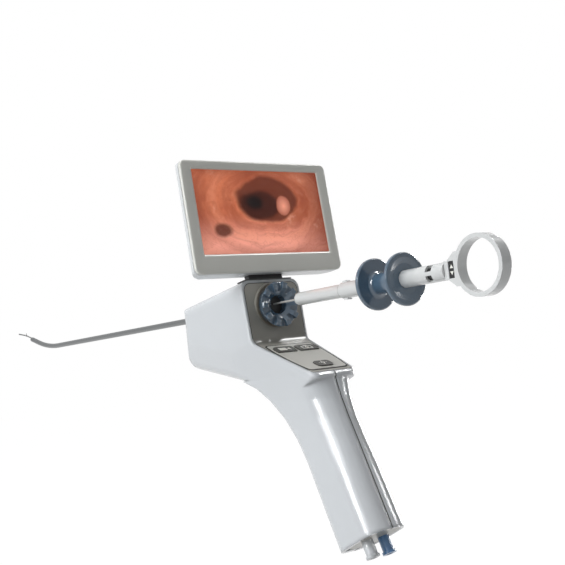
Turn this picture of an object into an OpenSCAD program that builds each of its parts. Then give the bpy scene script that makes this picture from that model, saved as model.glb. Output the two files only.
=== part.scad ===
// Hand-held scope with a rotating rigid tube, a tilting display and a grasping tool through its channel.
// +Y runs along the tube towards its tip, +X is to the user's right, +Z is up, millimetres.
// The origin is the front end of the nose collar's round wall, on the tube's axis.

/* [Housing outline] */
// Length that the outline shares are given in
outline_length = 100; // [96:0.5:104]
// Half width of the head at its rear
head_half_width = 21.9; // [21.6:0.1:22.4]
// Half width of the grip's lower part
grip_half_width = 14.5; // [14.3:0.1:15]
// Rounding of the head's long upper edges
roof_round = 6; // [5:0.5:7]
// Rounding of the head's long lower edges
belly_round = 8; // [7:0.5:9]
// Plan rounding of the head's front corners
front_round = 12; // [11:0.5:13]
// Wall of the housing shells
wall = 2.3; // [2.2:0.1:2.5]
// Plan taper of the head's sides, degrees
side_taper = 2.2; // [1.8:0.1:2.6]

/* [Rear cover and keypad] */
// Lean of the rear face from upright, degrees
rear_lean = 7.2; // [6:0.1:8]
// Fall of the thumb deck towards the user, degrees
deck_fall = 23; // [22:0.1:26]
// Thickness of the rear cover
cover_thick = 2.4; // [2.2:0.1:2.6]
// Gap around the rear cover
cover_gap = 0.15; // [0.1:0.01:0.2]
// Thickness of the keypad label
label_thick = 0.3; // [0.2:0.05:0.4]
// Height of a button cap above the label
button_rise = 0.6; // [0.5:0.05:0.9]
// Depth of a button cap from label top to flange
button_depth = 3.4; // [3.3:0.1:3.6]
// Gap around each button cap
button_gap = 0.3; // [0.25:0.01:0.35]
// Travel that each button has
button_travel = 0.8; // [0.6:0.1:0.9]

/* [Tube] */
// Outer radius of the rigid tube
tube_radius = 2.1; // [2.05:0.01:2.15]
// Wall of the rigid tube
tube_wall = 0.22; // [0.2:0.01:0.25]
// Straight length of the tube in front of the nose collar
tube_straight = 244; // [230:1:260]
// Radius of the bend near the tip
bend_radius = 175; // [160:1:190]
// Angle of the bend near the tip, degrees
bend_angle = 15; // [12:0.5:18]
// Straight length after the bend
tip_straight = 17; // [16:0.5:20]
// Height of the working channel above the tube's axis
channel_rise = 0.85; // [0.8:0.01:0.9]
// Outer radius of the channel liner
liner_radius = 0.94; // [0.9:0.01:0.96]
// Wall of the channel liner
liner_wall = 0.12; // [0.1:0.01:0.14]

/* [Knob and hub] */
// Rear rim radius of the rotation knob
knob_radius = 14.3; // [14:0.1:14.6]
// Front radius of the rotation knob
knob_neck = 12.6; // [12.4:0.1:12.8]
// Length of the rotation knob
knob_length = 6.8; // [6.5:0.1:7]
// Width of one knob notch at its inner end
notch_width = 2; // [1.8:0.1:2.4]
// Radius of the knob's throat
throat_radius = 5.8; // [5.5:0.1:6]
// Radius of the hub's rear journal
journal_radius = 9; // [8.8:0.1:9.2]
// Radius of the hub's body
hub_radius = 6; // [5.8:0.1:6.2]
// Radius of the hub's front spigot
spigot_radius = 3.4; // [3.3:0.1:3.6]
// Radius of the nose collar
collar_radius = 7; // [6.8:0.1:7.2]
// Radial running clearance
running_gap = 0.05; // [0.03:0.01:0.08]

/* [Display] */
// Half width of the display frame
frame_half_width = 55.7; // [55:0.1:56.5]
// Height of the display frame
frame_height = 71.8; // [71:0.1:73]
// Distance from picture centre to the frame's lower edge
frame_drop = 39.05; // [38.5:0.05:39.5]
// Corner radius of the display frame
frame_round = 4.2; // [3:0.1:5]
// Half width of the picture
picture_half_width = 47.9; // [47.5:0.1:48.3]
// Half height of the picture
picture_half_height = 27; // [26.7:0.1:27.3]
// Depth of the display from its picture plane to its back
display_depth = 16; // [15.5:0.1:17]
// Lean of the display from upright, degrees
display_lean = 6.2; // [5:0.1:7]
// Wall of the display covers
display_wall = 1.8; // [1.6:0.1:2]

/* [Hinge] */
// Half width of the hinge block
hinge_half_width = 12.8; // [12.4:0.1:13.2]
// Thickness of the hinge ears
ear_thick = 4.4; // [4:0.1:4.8]
// Radius of the hinge knuckle
knuckle_radius = 2.9; // [2.7:0.1:3]
// Radius of the hinge pin
hinge_pin_radius = 1.25; // [1.2:0.05:1.4]

/* [Grasping tool] */
// Radius of the tool's front grip tube
nose_radius = 3.93; // [3.8:0.01:4]
// Radius of the tool's main barrel
barrel_radius = 4.7; // [4.6:0.05:4.8]
// Bore radius of the main barrel
barrel_bore = 3.3; // [3.2:0.05:3.4]
// Radius of the tool's shaft
shaft_radius = 0.6; // [0.55:0.01:0.62]
// Bore radius of the tool's shaft
shaft_bore = 0.38; // [0.36:0.01:0.4]
// Radius of the pull rod
rod_radius = 0.28; // [0.26:0.01:0.3]
// Radius of the finger spool's discs
spool_radius = 14.3; // [14:0.1:14.6]
// Thickness of a spool disc
disc_thick = 2.5; // [2.3:0.1:2.7]
// Length of the finger spool
spool_length = 25.4; // [25:0.1:26]
// Radius of the spool's waist
waist_radius = 5.8; // [5.6:0.1:6.4]
// Outer radius of the thumb ring
ring_radius = 15.4; // [15:0.1:15.8]
// Wall of the thumb ring
ring_wall = 2.2; // [2:0.1:2.4]
// Width of the thumb ring
ring_width = 6.5; // [6:0.1:7]
// Opening of each jaw from the tool's axis, degrees
jaw_open = 22; // [20:1:24]
// Length of a jaw from its pin
jaw_length = 9.5; // [9:0.1:10]

/* [Hidden] */
$fn = 72;
over = 1;
reach = 400;
small = 0.02;

// Vector helpers for rounded outlines
function unit2(v) = v / norm(v);

function corner_points(a, b, c, r, n) =
  let (
    u = unit2(a - b),
    w = unit2(c - b),
    half = acos(u * w) / 2,
    hub = b + unit2(u + w) * r / sin(half),
    first = b + u * r / tan(half) - hub,
    last = b + w * r / tan(half) - hub,
    start = atan2(first[1], first[0]),
    turn = (atan2(last[1], last[0]) - start + 540) % 360 - 180
  )
  [for (i = [0 : n]) hub + r * [cos(start + turn * i / n), sin(start + turn * i / n)]];

function rounded(p, r, n) =
  [for (i = [0 : len(p) - 1])
    each (r[i] == 0
      ? [p[i]]
      : corner_points(p[(i + len(p) - 1) % len(p)], p[i], p[(i + 1) % len(p)], r[i], n))];

module along_x(width) {
  rotate([90, 0, 90])
    linear_extrude(width, center = true)
      children();
}

module turned(p) {
  rotate([-90, 0, 0])
    rotate_extrude()
      polygon(p);
}

module rod(from, length, radius) {
  translate([0, from, 0])
    rotate([-90, 0, 0])
      cylinder(h = length, r = radius);
}

module slab(low, high) {
  translate(low)
    cube(high - low);
}

// Places taken from the outline shares
rear_y_share = -0.974;
rear_y = rear_y_share * outline_length;

function rear_line(z) = rear_y + tan(rear_lean) * z;

deck_anchor_shares = [-1.454, -0.417];
deck_y = deck_anchor_shares[0] * outline_length;
deck_z = deck_anchor_shares[1] * outline_length;

function deck_line(y) = deck_z + tan(deck_fall) * (y - deck_y);

fold_z = (deck_z + tan(deck_fall) * (rear_y - deck_y)) / (1 - tan(deck_fall) * tan(rear_lean));
fold_y = rear_line(fold_z);
roof_rear_shares = [-0.953, 0.168];
roof_rear_y = roof_rear_shares[0] * outline_length;
roof_rear_z = roof_rear_shares[1] * outline_length;
roof_fall = 6.6;

function roof_line(y) = roof_rear_z - tan(roof_fall) * (y - roof_rear_y);

lip_y_share = -1.515;
lip_y = lip_y_share * outline_length;
front_upper_shares = [-0.118, 0.072];
front_middle_shares = [-0.103, -0.11];
front_lower_shares = [-0.172, -0.351];
front_upper = front_upper_shares * outline_length;
front_middle = front_middle_shares * outline_length;
front_lower = front_lower_shares * outline_length;
belly_fall = 10.2;

function belly_line(y) = front_lower[1] + tan(belly_fall) * (y - front_lower[0]);

head_low_share = -1.18;
lip_under_shares = [-1.4, -0.515];
lip_drop = 2.6;
rear_outline = [
  [rear_line(roof_rear_z), roof_line(rear_line(roof_rear_z))],
  [front_upper[0], roof_line(front_upper[0])],
  front_middle,
  front_lower,
  [head_low_share * outline_length, belly_line(head_low_share * outline_length)],
  lip_under_shares * outline_length,
  [lip_y, deck_line(lip_y) - lip_drop],
  [lip_y, deck_line(lip_y)],
  [fold_y, fold_z]
];
outline_round_shares = [0.01, 0.12, 0.2, 0.06, 0.1, 0.1, 0.01, 0.02, 0.05];

// Upright half widths seen from the front
taper_z_shares = [-0.22, -0.48, -0.66];
taper_half_shares = [0.165, 0.15];

// Half of the head, on the user's left
module half_head() {
  intersection() {
    along_x(2 * (head_half_width + over))
      polygon(rounded(rear_outline, outline_round_shares * outline_length, 8));
    half_plan();
    half_roof();
    half_belly();
    half_taper();
  }
}

plan_front_share = -0.103;
plan_lip_share = 0.16;
lip_round = 6;

module half_plan() {
  front = plan_front_share * outline_length;
  narrow = head_half_width + tan(side_taper) * (rear_y - front);
  translate([0, 0, -reach / 2])
    linear_extrude(reach)
      polygon(rounded(
        [
          [0, front],
          [-narrow, front],
          [-head_half_width, rear_y],
          [-plan_lip_share * outline_length, lip_y],
          [0, lip_y]
        ],
        [0, front_round, front_round, lip_round, 0],
        8
      ));
}

module half_roof() {
  translate([-head_half_width, rear_y, roof_line(rear_y)])
    rotate([-roof_fall, 0, -side_taper])
      rotate([90, 0, 0])
        linear_extrude(reach, center = true)
          polygon(rounded(
            [[0, -reach], [0, 0], [reach, 0], [reach, -reach]],
            [0, roof_round, 0, 0],
            8
          ));
}

module half_belly() {
  translate([-head_half_width, rear_y, belly_line(rear_y)])
    rotate([belly_fall, 0, -side_taper])
      rotate([90, 0, 0])
        linear_extrude(reach, center = true)
          polygon(rounded(
            [[belly_inset, 0], [0, belly_rise], [0, reach], [reach, reach], [reach, 0]],
            [belly_round, 0, 0, 0, 0],
            8
          ));
}

belly_inset = 4;
belly_rise = 19;

module half_taper() {
  rotate([90, 0, 0])
    linear_extrude(reach, center = true)
      polygon([
        [0, outline_length],
        [-head_half_width, outline_length],
        [-head_half_width, taper_z_shares[0] * outline_length],
        [-taper_half_shares[0] * outline_length, taper_z_shares[1] * outline_length],
        [-taper_half_shares[1] * outline_length, taper_z_shares[2] * outline_length],
        [-taper_half_shares[1] * outline_length, -reach],
        [0, -reach]
      ]);
}

// Grip sections from top to bottom: height, front, back, added half width, front and back rounding,
// and how much longer than wide the back rounding is
grip_section_shares = [
  [-0.455, -0.73, -1.505, 0.027, 0.095, 0.14, 1],
  [-0.506, -0.86, -1.517, 0.02, 0.1, 0.14, 1.05],
  [-0.585, -0.98, -1.542, 0.01, 0.1, 0.144, 1.2],
  [-0.692, -1.1, -1.586, 0.003, 0.1, 0.144, 1.25],
  [-0.82, -1.203, -1.645, 0, 0.1, 0.14, 1.25],
  [-0.955, -1.28, -1.704, 0, 0.1, 0.13, 1.15],
  [-1.5, -1.525, -1.945, 0, 0.1, 0.12, 1]
];
section_thick = 0.2;

module grip_section(i, inset) {
  share = grip_section_shares[i];
  half = grip_half_width + share[3] * outline_length - inset;
  front_r = share[4] * outline_length - inset;
  back_r = share[5] * outline_length - inset;
  translate([0, 0, share[0] * outline_length - section_thick / 2]) {
    for (side = [-1, 1]) {
      translate([side * (half - front_r), share[1] * outline_length - inset - front_r, 0])
        cylinder(h = section_thick, r = front_r, $fn = 32);
      translate([side * (half - back_r), share[2] * outline_length + inset + back_r * share[6], 0])
        scale([1, share[6], 1])
          cylinder(h = section_thick, r = back_r, $fn = 32);
    }
  }
}

grip_lean = 24.2;
base_centre_shares = [-1.7, -1.38];
base_y = base_centre_shares[0] * outline_length;
base_z = base_centre_shares[1] * outline_length;

// Frame at the grip's base, +Z up along the grip
module at_base() {
  translate([0, base_y, base_z])
    rotate([-grip_lean, 0, 0])
      children();
}

module grip_column(inset) {
  for (i = [0 : len(grip_section_shares) - 2])
    hull() {
      grip_section(i, inset);
      grip_section(i + 1, inset);
    }
}

// One half of the whole body, side -1 on the user's left and 1 on the right
module half_body(side) {
  mirror([max(side, 0), 0, 0])
    half_head();
  intersection() {
    difference() {
      grip_column(0);
      at_base()
        slab([-reach, -reach, -reach], [reach, reach, 0]);
    }
    slab([min(side, 0) * reach, -reach, -reach], [max(side, 0) * reach, reach, reach]);
  }
}

// Inside of the housing: side outline of the front, the grip and the back
cavity_front_shares = [
  [-0.14, 0.048],
  [-0.128, -0.11],
  [-0.195, -0.328],
  [-0.66, -0.411],
  [-0.86, -0.47],
  [-1.07, -0.62],
  [-1.23, -0.79],
  [-1.34, -0.98],
  [-1.62, -1.58],
  [-1.91, -1.58],
  [-1.535, -0.72],
  [-1.475, -0.55]
];
cavity_ease = 0.3;
cavity_top_share = 0.138;
cavity_grip_share = -0.46;
belly_wall = 1.75;
belly_floor = 0.8;
cavity_lip_share = -1.46;
cover_overlap = 1.5;

module half_cavity() {
  top = cavity_top_share * outline_length;
  lip = cavity_lip_share * outline_length;
  intersection() {
    along_x(2 * head_half_width)
      polygon(concat(
        cavity_front_shares * outline_length,
        [
          [lip, deck_line(lip) - cover_overlap],
          [fold_y + cover_overlap, fold_z - cover_overlap],
          [rear_line(top) + cover_overlap, top]
        ]
      ));
    translate([0, 0, -reach / 2])
      linear_extrude(reach)
        polygon(inside_points(cavity_plan_shares));
    rotate([90, 0, 0])
      linear_extrude(reach, center = true)
        polygon(inside_points(cavity_taper_shares));
    union() {
      intersection() {
        slab([-reach, -reach, cavity_grip_share * outline_length], [reach, reach, reach]);
        translate([belly_wall, 0, belly_floor])
          half_belly();
      }
      grip_column(wall);
    }
  }
}

// Half widths between the grip's inside, share 0, and the head's inside, share 1; share -1 is the middle
head_inside = head_half_width - wall - cavity_ease;
grip_inside = grip_half_width - wall - 2 * cavity_ease - button_gap;

function inside_points(shares) =
  [for (p = shares) [
    p[0] < 0 ? 0 : -grip_inside - p[0] * (head_inside - grip_inside),
    p[1] * outline_length
  ]];

cavity_plan_shares = [
  [-1, -0.1],
  [0, -0.1],
  [0.64, -0.19],
  [1, -0.96],
  [0.45, -1.5],
  [0.06, -1.6],
  [0.06, -2.1],
  [-1, -2.1]
];
cavity_taper_shares = [
  [-1, 0.2],
  [0.45, 0.2],
  [0.45, 0.11],
  [1, 0.06],
  [1, -0.22],
  [0.64, -0.34],
  [0.33, -0.45],
  [0.09, -0.56],
  [0, -0.64],
  [0, -1.8],
  [-1, -1.8]
];

// Frames on the rear face and on the deck
module at_rear() {
  translate([0, rear_y, 0])
    rotate([-rear_lean, 0, 0])
      children();
}

module at_deck() {
  translate([0, fold_y, fold_z])
    rotate([deck_fall, 0, 0])
      children();
}

// Rear cover: one bent plate that makes the rear face and the deck
cover_top_share = 0.145;
cover_rim = 1.7;
cover_lip_share = -1.49;
cover_fold_share = 0.05;

module cover_band(grow) {
  top = cover_top_share * outline_length + grow;
  lip = cover_lip_share * outline_length - grow;
  into_rear = [cos(rear_lean), -sin(rear_lean)] * (cover_thick + grow);
  into_deck = [sin(deck_fall), -cos(deck_fall)] * (cover_thick + grow);
  into_fold = fold_offset(cover_thick + grow);
  outward = grow > 0 ? 1 : 0;
  intersection() {
    along_x(2 * head_half_width)
      polygon(rounded(
        [
          [rear_line(top), top] - into_rear * outward,
          [fold_y, fold_z] - into_fold * outward,
          [lip, deck_line(lip)] - into_deck * outward,
          [lip, deck_line(lip)] + into_deck,
          [fold_y, fold_z] + into_fold,
          [rear_line(top), top] + into_rear
        ],
        [0, (1 - outward) * cover_fold_share * outline_length, 0, 0, 0, 0],
        8
      ));
    cover_plan(grow);
    cover_corners(grow);
  }
}

// Offset of the fold line for a plate of the given depth
function fold_offset(depth) =
  let (
    rear = [cos(rear_lean), -sin(rear_lean)],
    deck = [sin(deck_fall), -cos(deck_fall)],
    spread = rear[0] * deck[1] - rear[1] * deck[0]
  )
  [deck[1] - rear[1], rear[0] - deck[0]] * depth / spread;

cover_corner = 5;

module cover_plan(grow) {
  rear_half = head_half_width - cover_rim + grow;
  lip_half = plan_lip_share * outline_length - cover_rim + grow;
  lip = cover_lip_share * outline_length - grow;
  translate([0, 0, -reach / 2])
    linear_extrude(reach)
      polygon(rounded(
        [
          [rear_half, rear_y + outline_length],
          [-rear_half, rear_y + outline_length],
          [-rear_half, rear_y],
          [-lip_half, lip],
          [lip_half, lip],
          [rear_half, rear_y]
        ],
        [0, 0, 0, cover_rim, cover_rim, 0],
        6
      ));
}

// Rounded top corners of the rear plate
module cover_corners(grow) {
  rear_half = head_half_width - cover_rim + grow;
  top = cover_top_share * outline_length + grow;
  rotate([90, 0, 0])
    linear_extrude(reach, center = true)
      polygon(rounded(
        [[-rear_half, -reach], [-rear_half, top], [rear_half, top], [rear_half, -reach]],
        [0, cover_corner, cover_corner, 0],
        8
      ));
}

// Screws that close the housing: depth along Y and height
screw_spot_shares = [
  [-0.24, -0.26],
  [-0.86, -0.31],
  [-0.7, 0.095],
  [-1.31, -0.88],
  [-1.545, -1.28]
];
screw_radius = 1.25;
screw_boss = 3.4;
screw_head = 2.4;
screw_head_deep = 2;
screw_seat_shares = [0.145, 0.15, 0.15, 0.1, 0.1];
screw_reach = 8;

module at_screw(i) {
  translate([0, screw_spot_shares[i][0] * outline_length, screw_spot_shares[i][1] * outline_length])
    rotate([0, 90, 0])
      children();
}

// Features shared by both shells
collar_length = 10;
collar_inside = 7;
collar_seat = 8.4;
collar_block = 10.7;
block_rear_share = -0.2;
bearing_outer = 11.6;
rib_thick = 2;
rib_half = 12.5;
rib_low = 12;
rib_shares = [-0.465, -0.6];
manifold_radius = 9.4;
manifold_front_share = -0.45;
manifold_length = 16;
hub_room = 0.6;
base_plug_thick = 4;
plug_half = 11.8;
plug_depth = 15.5;
plug_round = 9;

// Outline of the base plug, smaller by a gap all round, raised to a height
module plug_block(gap, high) {
  half = plug_half - gap;
  deep = plug_depth - gap;
  linear_extrude(high)
    polygon(rounded(
      [[-half, -deep], [half, -deep], [half, deep], [-half, deep]],
      [plug_round - gap, plug_round - gap, plug_round - gap, plug_round - gap],
      8
    ));
}
connector_half = 4;
connector_length = 5;
connector_depth = 3.5;

// Solid that stays standing inside one half of the cavity
module shell_inside(side) {
  low = min(side, 0);
  high = max(side, 0);
  for (share = rib_shares)
    slab(
      [low * rib_half, share * outline_length - rib_thick / 2, -rib_low],
      [high * rib_half, share * outline_length + rib_thick / 2, outline_length]
    );
  for (i = [0 : len(screw_spot_shares) - 1])
    at_screw(i)
      translate([0, 0, low * outline_length])
        cylinder(h = outline_length, r = screw_boss);
  slab(
    [low * collar_block, block_rear_share * outline_length, -collar_block],
    [high * collar_block, front_middle[0], collar_block]
  );
}

module shell_half(side) {
  difference() {
    half_body(side);
    difference() {
      mirror([max(side, 0), 0, 0])
        half_cavity();
      shell_inside(side);
      if (side < 0)
        board_standoffs();
    }
    cover_band(cover_gap);
    rod(-outline_length, outline_length, hub_radius + hub_room);
    rod(manifold_front_share * outline_length - manifold_length - over,
      manifold_length + 2 * over, manifold_radius);
    rod(rear_y - bearing_outer, 2 * bearing_outer, bearing_outer + hub_room);
    rod(-collar_length - collar_inside, outline_length, collar_radius + small);
    rod(-collar_length - collar_inside, wall, collar_seat);
    at_base()
      translate([0, 0, -over])
        plug_block(0, base_plug_thick + over);
    at_dock()
      slab([-connector_half, -connector_length / 2, -connector_depth],
        [connector_half, connector_length / 2, over]);
  }
}

module left_shell() {
  color("white")
    difference() {
      shell_half(-1);
      for (i = [0 : len(screw_spot_shares) - 1])
        at_screw(i)
          translate([0, 0, -screw_reach])
            cylinder(h = screw_reach + over, r = screw_radius + small);
    }
}

module right_shell() {
  color("white")
    difference() {
      shell_half(1);
      for (i = [0 : len(screw_spot_shares) - 1])
        at_screw(i) {
          translate([0, 0, -over])
            cylinder(h = outline_length, r = screw_radius + small);
          translate([0, 0, screw_seat_shares[i] * outline_length - screw_head_deep])
            cylinder(h = outline_length, r = screw_head + cover_gap);
        }
    }
}

// Nose collar: front bearing of the hub and the scope's holder seat
module nose_collar() {
  color("white")
    difference() {
      turned([
        [0, rounding],
        [collar_radius - rounding, rounding],
        [collar_radius, 0],
        [collar_radius, -collar_length],
        [collar_radius - rounding / 2, -collar_length],
        [collar_radius - rounding / 2, -collar_length - collar_inside + wall - small],
        [collar_seat - small, -collar_length - collar_inside + wall - small],
        [collar_seat - small, -collar_length - collar_inside + small],
        [0, -collar_length - collar_inside + small]
      ]);
      rod(-outline_length, 2 * outline_length, tube_radius + running_gap);
      rod(-outline_length, outline_length - collar_front_wall, spigot_radius + running_gap);
    }
}

rounding = 0.6;
collar_front_wall = 1.5;

// Rear bearing ring, seated in the rear cover
bearing_length = 4.6;
bearing_rear_share = -0.993;

module bearing_ring() {
  color("tan")
    difference() {
      union() {
        rod(bearing_rear_share * outline_length, bearing_length, bearing_outer);
        rod(bearing_rear_share * outline_length, washer_thick, washer_radius);
      }
      rod(-2 * outline_length, 3 * outline_length, journal_radius + running_gap);
    }
}

washer_thick = 0.8;
washer_radius = 13.9;

module rear_cover() {
  color("gray")
    difference() {
      union() {
        cover_band(0);
        intersection() {
          rod(bearing_rear_share * outline_length + washer_thick, cover_boss, cover_boss_radius);
          at_rear()
            slab([-reach, -reach, -reach], [reach, cover_thick, reach]);
        }
        cover_posts();
      }
      rod(-2 * outline_length, 3 * outline_length, bearing_outer + small);
      rod(bearing_rear_share * outline_length - over, washer_thick + over, washer_radius + small);
      at_deck()
        translate([0, 0, -outline_length / 10])
          linear_extrude(outline_length / 5)
            for (i = [0 : 2])
              button_outline(i, button_gap);
    }
}

cover_boss = 6;
cover_boss_radius = 14.3;
flange_thick = 0.6;
dome_height = 0.5;
dome_gap = 0.6;
post_radius = 1.6;
post_shares = [[-0.135, -0.06], [0.135, -0.06], [-0.11, -0.44], [0.11, -0.44]];
board_depth = button_depth + flange_thick - label_thick - button_rise + button_travel + dome_height
  + dome_gap;

module cover_posts() {
  at_deck()
    for (p = post_shares)
      translate([p[0] * outline_length, p[1] * outline_length, -board_depth])
        cylinder(h = board_depth - cover_thick / 2, r = post_radius);
}

// Keypad outlines in the deck frame: centre, half width and half length of each button
button_shares = [
  [-0.083, -0.161, 0.073, 0.041],
  [0.083, -0.161, 0.073, 0.041],
  [0.007, -0.43, 0.058, 0.038]
];
button_round_shares = [
  [0.012, 0.035, 0.012, 0.012],
  [0.035, 0.012, 0.012, 0.012],
  [0.022, 0.022, 0.03, 0.03]
];

module button_outline(i, grow) {
  b = button_shares[i] * outline_length;
  r = button_round_shares[i] * outline_length;
  polygon(rounded(
    [
      [b[0] + b[2] + grow, b[1] + b[3] + grow],
      [b[0] - b[2] - grow, b[1] + b[3] + grow],
      [b[0] - b[2] - grow, b[1] - b[3] - grow],
      [b[0] + b[2] + grow, b[1] - b[3] - grow]
    ],
    r,
    6
  ));
}

label_half_shares = [
  [0.164, -0.08],
  [0.17, -0.19],
  [0.164, -0.3],
  [0.153, -0.4],
  [0.134, -0.495]
];
label_round_shares = [0.02, 0.1, 0.1, 0.1, 0.03];
label_corners = len(label_half_shares);

// Outline of the label, mirrored about the middle
function label_points() = concat(
  [for (p = label_half_shares) p * outline_length],
  [for (i = [label_corners - 1 : -1 : 0]) [-label_half_shares[i][0], label_half_shares[i][1]] * outline_length]
);

function label_rounds() = concat(
  [for (r = label_round_shares) r * outline_length],
  [for (i = [label_corners - 1 : -1 : 0]) label_round_shares[i] * outline_length]
);

module keypad_label() {
  color("lightgray")
    at_deck()
      linear_extrude(label_thick)
        difference() {
          polygon(rounded(label_points(), label_rounds(), 6));
          for (i = [0 : 2])
            button_outline(i, button_gap);
        }
}

flange_grow = 0.7;

module button_cap(i) {
  color("dimgray")
    at_deck() {
      translate([0, 0, label_thick + button_rise - button_depth])
        linear_extrude(button_depth)
          button_outline(i, 0);
      translate([0, 0, label_thick + button_rise - button_depth - flange_thick])
        linear_extrude(flange_thick)
          button_outline(i, flange_grow);
    }
}

board_thick = 1.2;
dome_radius = 2.4;
keypad_board_shares = [[0.15, -0.03], [-0.15, -0.03], [-0.125, -0.475], [0.125, -0.475]];

module keypad_board() {
  color("green")
    at_deck()
      translate([0, 0, -board_depth - board_thick])
        linear_extrude(board_thick)
          polygon(keypad_board_shares * outline_length);
}

module switch_domes() {
  color("silver")
    at_deck()
      for (b = button_shares)
        translate([b[0] * outline_length, b[1] * outline_length, -board_depth])
          cylinder(h = dome_height, r1 = dome_radius, r2 = dome_radius / 2);
}

module shell_screws() {
  color("silver")
    for (i = [0 : len(screw_spot_shares) - 1])
      at_screw(i)
        difference() {
          union() {
            translate([0, 0, -screw_reach + over])
              cylinder(h = screw_seat_shares[i] * outline_length + screw_reach - over, r = screw_radius);
            translate([0, 0, screw_seat_shares[i] * outline_length - screw_head_deep])
              cylinder(h = screw_head_deep, r = screw_head);
          }
          translate([0, 0, screw_seat_shares[i] * outline_length - screw_head_deep / 2])
            cylinder(h = screw_head_deep, r = screw_radius, $fn = 6);
        }
}

// Main board on the left shell
main_board_x_share = -0.15;
main_board_shares = [[-0.3, -0.02], [-0.3, -0.25], [-0.78, -0.27], [-0.78, -0.02]];
chip_shares = [[-0.38, -0.1], [-0.56, -0.13], [-0.68, -0.18]];
brush_length = 1.2;
chip_side = 9;
chip_thick = 1.3;

module main_board() {
  color("darkgreen")
    translate([main_board_x_share * outline_length, 0, 0]) {
      along_x(board_thick)
        polygon(main_board_shares * outline_length);
      for (c = chip_shares)
        translate([board_thick / 2, c[0] * outline_length, c[1] * outline_length])
          slab([-small, -chip_side / 2, -chip_side / 2], [chip_thick, chip_side / 2, chip_side / 2]);
    }
  color("gold")
    for (share = contact_shares)
      slab(
        [main_board_x_share * outline_length, share * outline_length - brush_length / 2, -brush_low],
        [-hub_radius - button_gap, share * outline_length + brush_length / 2, -brush_low + brush_length]
      );
}

brush_low = 3.5;
contact_shares = [-0.69, -0.72, -0.75];
standoff_shares = [[-0.33, -0.05], [-0.33, -0.22], [-0.75, -0.05], [-0.75, -0.24]];

module board_standoffs() {
  for (c = standoff_shares)
    translate([main_board_x_share * outline_length - board_thick / 2, c[0] * outline_length,
      c[1] * outline_length])
      rotate([0, -90, 0])
        cylinder(h = head_half_width, r = post_radius);
}

// Fluid manifold around the hub
manifold_bore = hub_radius + running_gap;
barb_bore = 0.9;
barb_length = 4;
barb_shares = [-0.503, -0.562];
barb_x_share = 0.05;

module fluid_manifold() {
  color("ivory")
    difference() {
      union() {
        rod(manifold_front_share * outline_length - manifold_length, manifold_length,
          manifold_radius - small);
        for (i = [0 : 1])
          translate([(2 * i - 1) * barb_x_share * outline_length, barb_shares[i] * outline_length,
            -manifold_radius - barb_length])
            cylinder(h = barb_length + manifold_radius / 2, r = fluid_tube_bore - small);
      }
      rod(-outline_length, outline_length, manifold_bore);
      for (i = [0 : 1])
        translate([(2 * i - 1) * barb_x_share * outline_length, barb_shares[i] * outline_length,
          -manifold_radius - barb_length - over])
          cylinder(h = barb_length + manifold_radius, r = barb_bore);
    }
}

// Fluid tubes from the manifold down to the ports: depth and height of each bend
tube_run_shares = [
  [[-0.503, -0.097], [-0.503, -0.22], [-0.98, -0.5]],
  [[-0.562, -0.097], [-0.562, -0.225], [-1.03, -0.495]]
];
fluid_tube_radius = 2.4;
fluid_tube_bore = 1.6;
elbow_grow = 0.4;
tube_end = 6;
tube_climb = 52;
port_x = 6;

module span(a, b, radius) {
  d = b - a;
  translate(a)
    rotate([0, acos(d[2] / norm(d)), atan2(d[1], d[0])])
      cylinder(h = norm(d), r = radius);
}

function base_point(x, up) = [
  x,
  base_y + sin(grip_lean) * up,
  base_z + cos(grip_lean) * up
];

module fluid_path(i, radius, extra) {
  side = 2 * i - 1;
  run = tube_run_shares[i] * outline_length;
  high = side * barb_x_share * outline_length;
  spots = [
    [high, run[0][0], run[0][1] + extra],
    [high, run[1][0], run[1][1]],
    [side * port_x, run[2][0], run[2][1]],
    base_point(side * port_x, tube_climb),
    base_point(side * port_x, tube_end - extra)
  ];
  for (k = [0 : 3])
    span(spots[k], spots[k + 1], radius);
  for (k = [1 : 3])
    translate(spots[k])
      sphere(r = radius + (extra > 0 ? elbow_grow / 2 : elbow_grow));
}

module inflow_tube() {
  color("lightblue")
    difference() {
      fluid_path(0, fluid_tube_radius, 0);
      fluid_path(0, fluid_tube_bore, over);
    }
}

module outflow_tube() {
  color("lightblue")
    difference() {
      fluid_path(1, fluid_tube_radius, 0);
      fluid_path(1, fluid_tube_bore, over);
    }
}

// Plug that closes the grip, with two fluid ports through it
port_radius = 3.3;
port_bore = 2.1;
port_bore_length = 8;
port_out_length = 10;
port_ear = 4;
port_ear_thick = 1.6;
port_in_length = 12;
port_drill = 0.8;

module base_plug() {
  color("gray")
    at_base()
      difference() {
        plug_block(small, base_plug_thick);
        for (side = [-1, 1])
          translate([side * port_x, 0, -over])
            cylinder(h = base_plug_thick + 2 * over, r = port_radius);
      }
}

module fluid_port(side) {
  at_base()
    translate([side * port_x, 0, 0])
      difference() {
        union() {
          translate([0, 0, -port_out_length])
            cylinder(h = port_out_length + base_plug_thick, r = port_radius);
          translate([0, 0, -port_out_length])
            cylinder(h = port_ear_thick, r = port_ear);
          cylinder(h = base_plug_thick + port_in_length, r = fluid_tube_bore - small);
        }
        translate([0, 0, -port_out_length - over])
          cylinder(h = port_bore_length + over, r = port_bore);
        translate([0, 0, -port_out_length])
          cylinder(h = port_out_length + port_in_length + base_plug_thick + over, r = port_drill);
      }
}

module inflow_port() {
  color("white")
    fluid_port(-1);
}

module outflow_port() {
  color("skyblue")
    fluid_port(1);
}

// Dock plate and hinge block on the roof
dock_y_share = -0.9;
dock_y = dock_y_share * outline_length;
dock_half_width = 17.5;
dock_length = 10;
dock_thick = 0.6;

module at_dock() {
  translate([0, dock_y, roof_line(dock_y)])
    rotate([-roof_fall, 0, 0])
      children();
}

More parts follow.
